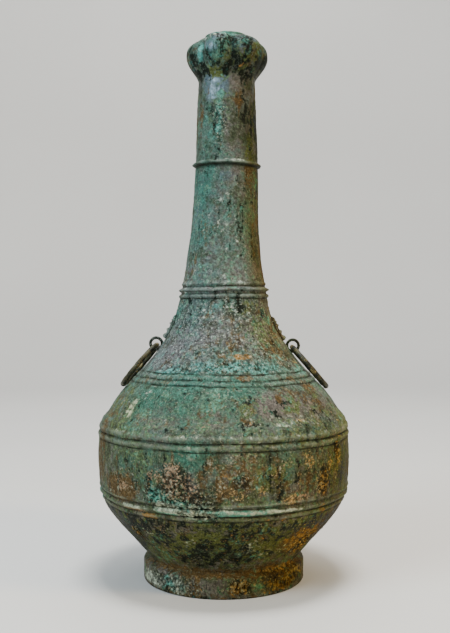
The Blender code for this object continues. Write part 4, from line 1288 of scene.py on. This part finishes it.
class Paint:
    """A material's nodes, with a short call for each kind of node that the patina needs."""

    def __init__(self, name):
        self.material = bpy.data.materials.new(name)
        self.material.use_nodes = True
        self.tree = self.material.node_tree
        self.shader = self.tree.nodes["Principled BSDF"]
        self.place = self.add("ShaderNodeTexCoord").outputs["Object"]

    def add(self, kind, inputs=(), **settings):
        """Add a node: settings are its own options, inputs are pairs of socket and value or link."""
        node = self.tree.nodes.new(kind)
        for key, value in settings.items():
            setattr(node, key, value)
        for key, value in inputs:
            if isinstance(value, bpy.types.NodeSocket):
                self.tree.links.new(value, node.inputs[key])
            else:
                node.inputs[key].default_value = value
        return node

    def attribute(self, name):
        return self.add("ShaderNodeAttribute", attribute_name=name).outputs["Fac"]

    def math(self, operation, a, b, c=0.0):
        return self.add("ShaderNodeMath", [(0, a), (1, b), (2, c)], operation=operation).outputs[0]

    def noises(self, size, detail, place=None):
        """Three separate noises whose blotches are about this size in metres."""
        made = self.add("ShaderNodeTexNoise", [("Vector", place or self.place), ("Scale", 1.0 / size),
                                               ("Detail", detail), ("Roughness", 0.6)])
        split = self.add("ShaderNodeSeparateColor", [("Color", made.outputs["Color"])])
        return list(split.outputs)

    def stretched(self, scale):
        """Object coordinates squeezed along an axis, which draws the noise out into streaks."""
        return self.add("ShaderNodeMapping", [("Vector", self.place), ("Scale", scale)]).outputs[0]

    def cut(self, value, low, high, to_low=0.0, to_high=1.0):
        """0 below low, 1 above high, and a soft step between them."""
        return self.add("ShaderNodeMapRange", [("Value", value), ("From Min", low), ("From Max", high),
                                               ("To Min", to_low), ("To Max", to_high)],
                        interpolation_type="SMOOTHSTEP").outputs[0]

    def blend(self, share, below, above):
        """Mix two colours, or two numbers, by a share."""
        number = isinstance(above, float)
        data_type = "FLOAT" if number else "RGBA"
        a, b, result = (2, 3, 0) if number else (6, 7, 2)
        made = self.add("ShaderNodeMix", [(0, share), (a, below), (b, above)], data_type=data_type)
        return made.outputs[result]

    def tinted(self, share, colour, tint):
        """A colour multiplied by a tint, by a share."""
        return self.add("ShaderNodeMix", [(0, share), (6, colour), (7, tint)], data_type="RGBA",
                        blend_type="MULTIPLY").outputs[2]

    def scaled(self, colour, factor):
        """A colour made darker or lighter."""
        made = self.add("ShaderNodeVectorMath", [(0, colour), ("Scale", factor)], operation="SCALE")
        return made.outputs[0]

    def bumped(self, strength, distance, height):
        """A normal bent by a height, for the finest roughness."""
        return self.add("ShaderNodeBump", [("Strength", strength), ("Distance", distance),
                                           ("Height", height)]).outputs[0]

    def finish(self, sockets):
        """Link the made colours and numbers to the shader's sockets."""
        for socket, value in sockets.items():
            self.tree.links.new(value, self.shader.inputs[socket])
        return self.material


print("node helpers ready")

# %% [markdown]
# ## The body's patina
#
# Bronze corrodes in layers, and the material is built the same way: bare skin first, then eleven layers,
# each with its own colour and roughness. Black and blue-grey metal keeps a soft gloss, while verdigris,
# crust and earth are quite matt. The order matters, because a later layer hides an earlier one. Chalky
# crust grew last, so it lies on top.

# %% Layers
SKIN_OLIVE = (0.036, 0.044, 0.024, 1.0)
SKIN_MAUVE = (0.088, 0.078, 0.070, 1.0)
SKIN_ROUGHNESS = 0.60
SKIN_SHINE = 0.06
# Near black: painted shade in the hollows and the grooves, and the dark of pits.
DIRT_AND_SHADE = (0.008, 0.009, 0.005, 1.0)
# Pale: painted highlights on the bumps, and painted glints in specks.
PAINTED_HIGHLIGHT = (0.270, 0.290, 0.225, 1.0)
# Rib crests: partly rubbed lighter by wear, partly painted highlight.
CREST_WEAR_AND_HIGHLIGHT = (0.150, 0.175, 0.140, 1.0)
# Each layer: its map, its colour, its roughness, how much it shines, how much cover it takes to show,
# how much broad, middle and small noise break it up, and how soft its edges are.
LAYERS = [
    ("mauve", (0.097, 0.085, 0.077, 1.0), 0.62, 0.06, 0.50, (1.2, 1.2, 1.0), 0.36),
    ("steel", (0.048, 0.072, 0.088, 1.0), 0.24, 0.90, 0.50, (1.0, 0.9, 0.6), 0.30),
    ("teal", (0.033, 0.094, 0.066, 1.0), 0.62, 0.06, 0.50, (1.1, 1.2, 1.0), 0.42),
    ("moss", (0.066, 0.076, 0.022, 1.0), 0.66, 0.05, 0.50, (1.0, 1.6, 1.7), 0.20),
    ("earth", (0.070, 0.046, 0.019, 1.0), 0.72, 0.05, 0.52, (1.2, 1.4, 1.3), 0.22),
    ("black", (0.006, 0.008, 0.005, 1.0), 0.45, 0.04, 0.50, (1.0, 1.6, 1.6), 0.16),
    ("verdigris", (0.070, 0.230, 0.190, 1.0), 0.82, 0.03, 0.60, (1.0, 1.4, 1.6), 0.44),
    ("pink", (0.188, 0.126, 0.080, 1.0), 0.80, 0.03, 0.70, (0.8, 1.4, 2.2), 0.22),
    ("rust", (0.168, 0.094, 0.031, 1.0), 0.80, 0.03, 0.74, (0.8, 1.4, 2.0), 0.24),
    ("ochre", (0.270, 0.180, 0.075, 1.0), 0.80, 0.03, 0.84, (0.6, 1.5, 2.6), 0.24),
    ("pale", (0.290, 0.325, 0.255, 1.0), 0.86, 0.03, 0.72, (0.8, 1.4, 2.2), 0.28),
]
# Layers drawn out into upright streaks, and layers that break up into the finest flecks.
STREAKED = ("earth", "black")
FLECKED = ("ochre", "pink")
# Thin films over all of it, each with what it multiplies the colour by: a golden earth stain that is
# partly painted warm light, a bluish bloom that is partly painted cool light, and painted shade.
FILMS = [
    ("gold_stain_and_warm_light", (0.80, 0.70, 0.33, 1.0)),
    ("bluish_bloom_and_cool_light", (1.08, 1.18, 1.38, 1.0)),
    ("painted_shade", (0.42, 0.47, 0.42, 1.0)),
]


def patina_noises(paint):
    """Noises of five sizes, from blotches down to grains, and one drawn out into upright streaks."""
    made = {
        "broad": paint.noises(34 * MM, 3.0),
        "middle": paint.noises(9 * MM, 4.0),
        "small": paint.noises(3.4 * MM, 3.0),
        "fine": paint.noises(1.5 * MM, 2.0),
        "grain": paint.noises(0.6 * MM, 1.0),
    }
    made["streaks"] = paint.noises(5 * MM, 3.0, paint.stretched((1.0, 1.0, 0.14)))
    return made


print("layers:", len(LAYERS), "and films:", len(FILMS))

# %% Lay one colour over another


def layer_share(paint, noises, turn, name, threshold, weights, softness):
    """Where a layer shows, from 0 to 1: its map plus noise of three sizes, cut off at its threshold."""
    total = paint.math("SUBTRACT", paint.attribute(name), 0.5 * sum(weights))
    grained = noises["streaks" if name in STREAKED else "middle"]
    flecks = noises["fine" if name in FLECKED else "small"]
    chosen = (noises["broad"][turn % 3], grained[(turn + 1) % 3], flecks[(turn + 2) % 3])
    for noise, weight in zip(chosen, weights):
        total = paint.math("MULTIPLY_ADD", noise, weight, total)
    return paint.cut(total, threshold - softness, threshold + softness)


def lay_colours(paint, noises):
    """The bare skin with every layer over it: colour, roughness, shine, and where each layer shows."""
    colour = paint.blend(paint.cut(noises["middle"][0], 0.42, 0.58), SKIN_OLIVE, SKIN_MAUVE)
    roughness, shine, shares = SKIN_ROUGHNESS, SKIN_SHINE, {}
    for turn, (name, tint, matt, gloss, threshold, weights, softness) in enumerate(LAYERS):
        share = layer_share(paint, noises, turn, name, threshold, weights, softness)
        colour = paint.blend(share, colour, tint)
        roughness = paint.blend(share, roughness, matt)
        shine = paint.blend(share, shine, gloss)
        shares[name] = share
    return colour, roughness, shine, shares


print("colours can be laid")

# %% [markdown]
# ## Tying the colour to the surface
#
# Colour alone looks like paint on plastic. Three things tie it to the metal: painted shade in the hollows
# and painted highlight on the bumps beside them, painted shade in the grooves, and painted glints as fine
# pale specks on all rough places. The hollows could be found by a node that feels for creases, but the
# displaced mesh already knows them: its relief was measured and stored, and is read here.

# %% Tie the colour to the surface


def weathered_with_painted_light(paint, noises, rough, colour):
    """The colour with grain, painted shade in hollows, painted highlights on bumps, painted glints in specks,
    pits, films and painted shade in grooves.
    """
    for noise, low, high in ((noises["small"][1], 0.60, 1.35), (noises["fine"][0], 0.50, 1.50)):
        contrast = paint.math("SUBTRACT", paint.cut(noise, 0.32, 0.68, low, high), 1.0)
        contrast = paint.math("MULTIPLY", contrast, paint.math("MULTIPLY_ADD", rough, 0.45, 0.55))
        colour = paint.scaled(colour, paint.math("ADD", contrast, 1.0))
    # Painted shade in the hollows and painted highlight on the bumps, from the measured relief.
    colour = paint.blend(paint.cut(paint.attribute("relief"), -0.55, 0.0, 0.76, 0.0), colour, DIRT_AND_SHADE)
    colour = paint.blend(paint.cut(paint.attribute("relief"), 0.05, 0.60, 0.0, 0.30), colour, PAINTED_HIGHLIGHT)
    # Pale specks on the rough places: painted glints where light catches the grain.
    speckled = paint.math("MULTIPLY_ADD", rough, 0.6, 0.2)
    specks = paint.math("MULTIPLY", paint.cut(noises["fine"][2], 0.60, 0.68), speckled)
    colour = paint.blend(specks, colour, PAINTED_HIGHLIGHT)
    pitted = paint.math("MULTIPLY_ADD", rough, 0.6, 0.3)
    pits = paint.math("MULTIPLY", paint.cut(noises["fine"][1], 0.40, 0.32), pitted)
    colour = paint.blend(pits, colour, DIRT_AND_SHADE)
    # Lighter rib crests: partly rubbed by wear, partly painted highlight.
    rubbed_and_highlit = paint.cut(noises["middle"][2], 0.38, 0.62, 0.05, 0.55)
    colour = paint.blend(paint.math("MULTIPLY", paint.attribute("crest"), rubbed_and_highlit), colour, CREST_WEAR_AND_HIGHLIGHT)
    # The films: a golden stain and a bluish bloom, both partly painted light, and painted shade.
    for name, tint in FILMS:
        colour = paint.tinted(paint.attribute(name), colour, tint)
    # Painted shade in the grooves of the ribs and between the cloves, broken up by noise.
    filled = paint.cut(noises["middle"][1], 0.35, 0.6, 0.45, 1.0)
    return paint.blend(paint.math("MULTIPLY", paint.attribute("groove"), filled), colour, DIRT_AND_SHADE)


def patina_bump(paint, noises, rough, polish):
    """Grain everywhere and lumps on the crust, but hardly any on polished metal."""
    grain = paint.math("MULTIPLY", noises["grain"][0], 0.3)
    height = paint.math("MULTIPLY_ADD", noises["fine"][0], 0.7, grain)
    crusted = paint.cut(paint.attribute("crust"), 0.45, 0.85, 0.0, 1.8)
    height = paint.math("ADD", height, paint.math("MULTIPLY", noises["small"][2], crusted))
    strength = paint.math("MULTIPLY_ADD", rough, 0.6, 0.4)
    strength = paint.math("MULTIPLY", strength, paint.math("MULTIPLY_ADD", polish, -0.85, 1.0))
    return paint.bumped(strength, 1.2 * MM, height)


print("and tied to the hollows, the bumps and the grooves")

# %% The patina


def patina_material():
    """The whole patina: layers of colour, then what ties them to the surface."""
    paint = Paint("patinated_bronze")
    noises = patina_noises(paint)
    rough = paint.cut(paint.attribute("crust"), 0.0, 0.6)
    colour, roughness, shine, shares = lay_colours(paint, noises)
    colour = weathered_with_painted_light(paint, noises, rough, colour)
    normal = patina_bump(paint, noises, rough, shares["steel"])
    paint.shader.inputs["Specular IOR Level"].default_value = SKIN_SHINE
    paint.shader.inputs["Specular Tint"].default_value = (0.70, 0.86, 1.0, 1.0)
    return paint.finish({"Base Color": colour, "Roughness": roughness, "Specular IOR Level": shine,
                         "Normal": normal})


patina = patina_material()
for piece in [body] + masks:
    piece.data.materials.clear()
    piece.data.materials.append(patina)
print("the patina has", len(patina.node_tree.nodes), "nodes")

# %% [markdown]
# ## The rings' bronze
#
# The rings have been handled, so they are darker and barer than the body: near-black bronze with an
# olive sheen, golden in patches and near the loop, partly rubbed bare and partly painted glints, with a few
# green specks.

# %% Ring material
RING_DARK = (0.010, 0.010, 0.006, 1.0)
RING_OLIVE = (0.040, 0.038, 0.018, 1.0)
RING_GOLD_WEAR_AND_GLINT = (0.190, 0.145, 0.055, 1.0)
RING_GREEN = (0.060, 0.110, 0.070, 1.0)


def ring_material():
    """Dark bronze, golden where chance and wear agree, partly rubbed bare and partly painted glints, with
    green specks.
    """
    paint = Paint("ring_bronze")
    middle, fine = paint.noises(5 * MM, 3.0), paint.noises(1.3 * MM, 3.0)
    colour = paint.blend(paint.cut(middle[0], 0.40, 0.60), RING_DARK, RING_OLIVE)
    rubbed_and_highlit = paint.math("MULTIPLY_ADD", middle[1], 0.8, paint.math("MULTIPLY", fine[0], 0.5))
    rubbed_and_highlit = paint.math("MULTIPLY_ADD", paint.attribute("worn"), 0.4, rubbed_and_highlit)
    rubbed_and_highlit = paint.cut(rubbed_and_highlit, 0.68, 0.84)
    # Golden patches: partly rubbed bare by wear, partly painted glints.
    colour = paint.blend(rubbed_and_highlit, colour, RING_GOLD_WEAR_AND_GLINT)
    colour = paint.blend(paint.cut(fine[1], 0.62, 0.70), colour, RING_GREEN)
    roughness = paint.blend(rubbed_and_highlit, paint.cut(fine[2], 0.3, 0.7, 0.42, 0.62), 0.32)
    normal = paint.bumped(0.5, 0.3 * MM, fine[0])
    paint.shader.inputs["Metallic"].default_value = 0.35
    paint.shader.inputs["Specular IOR Level"].default_value = 0.25
    return paint.finish({"Base Color": colour, "Roughness": roughness, "Normal": normal})


ring_bronze = ring_material()
for piece in (left_ring, right_ring):
    piece.data.materials.clear()
    piece.data.materials.append(ring_bronze)
print("the rings' bronze has", len(ring_bronze.node_tree.nodes), "nodes")

# %% [markdown]
# ## The studio
#
# A round seamless studio: a pale floor that curves up into a wall, as in a photographer's cove, but all
# the way round, so that the vase can be looked at from any side. It is a disc outline spun like the
# vase.

# %% Floor and wall
STUDIO_RADIUS = 2.4
STUDIO_CURVE = 0.8
STUDIO_HEIGHT = 2.6
CURVE_STEPS = 8

cove = [(0.0, 0.0), (0.6, 0.0), (STUDIO_RADIUS - STUDIO_CURVE, 0.0)]
for step in range(1, CURVE_STEPS + 1):
    turn = 0.5 * math.pi * step / CURVE_STEPS
    cove.append((STUDIO_RADIUS - STUDIO_CURVE * (1 - math.sin(turn)), STUDIO_CURVE * (1 - math.cos(turn))))
cove.append((STUDIO_RADIUS, STUDIO_HEIGHT))
bpy.ops.object.select_all(action="DESELECT")
studio = spun("studio_cove", cove, 96)
only(studio)
bpy.ops.object.shade_smooth()
studio_paint = Paint("studio_paper")
shade = studio_paint.cut(studio_paint.noises(0.9, 2.0)[0], 0.2, 0.8)
paper = studio_paint.blend(shade, (0.50, 0.50, 0.49, 1.0), (0.54, 0.54, 0.53, 1.0))
studio_paint.shader.inputs["Roughness"].default_value = 0.9
studio.data.materials.append(studio_paint.finish({"Base Color": paper}))
print("the studio is", 2 * STUDIO_RADIUS, "m across")

# %% [markdown]
# ## The light
#
# Four square lamps do the work: a wide, cool one at the left, a smaller, warm one at the right, one above
# that draws the shoulder, and one turned away, onto the wall behind. A weak even light fills the rest. The
# lamps are hidden from the camera, so only their light shows.

# %% Lights
WORLD_LIGHT = 0.42
# Each light: place, what it points at, side of its square, power in watts, colour.
LIGHTS = {
    "window": ((-1.05, -0.95, 0.95), (0.0, 0.0, 0.2), 0.70, 30.0, (0.78, 0.91, 1.00)),
    "lamp": ((1.20, -0.65, 0.75), (0.0, 0.0, 0.2), 0.35, 22.0, (1.00, 0.76, 0.45)),
    "ceiling": ((0.05, -0.15, 1.45), (0.0, 0.0, 0.2), 0.36, 26.0, (1.00, 0.99, 0.95)),
    "backdrop": ((0.0, 0.9, 1.9), (0.0, 2.4, 0.5), 1.20, 38.0, (1.00, 0.99, 0.97)),
}

for name, (place, target, size, power, colour) in LIGHTS.items():
    lamp = bpy.data.lights.new(name, "AREA")
    lamp.size = size
    lamp.energy = power
    lamp.color = colour
    holder = bpy.data.objects.new(name, lamp)
    holder.location = place
    holder.rotation_euler = (Vector(target) - Vector(place)).to_track_quat("-Z", "Y").to_euler()
    holder.visible_camera = False
    bpy.context.scene.collection.objects.link(holder)

world = bpy.data.worlds.new("soft_room")
bpy.context.scene.world = world
world.use_nodes = True
world.node_tree.nodes["Background"].inputs["Color"].default_value = (0.95, 0.97, 1.0, 1.0)
world.node_tree.nodes["Background"].inputs["Strength"].default_value = WORLD_LIGHT
print("lights:", ", ".join(LIGHTS))

# %% [markdown]
# ## Tying the pieces to the solid model
#
# Last, every piece is tied to the body of the solid model it moves with, and the solid that it stands
# for is hidden.

# %% Tie the pieces to the frame
for piece in [body] + masks:
    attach(piece, "vase")
    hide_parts("vase_body")
RINGS = (
    (left_ring, "left_ring", "left_ring_handle"),
    (right_ring, "right_ring", "right_ring_handle"),
)
for piece, ring_body, node in RINGS:
    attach(piece, ring_body)
    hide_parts(node)
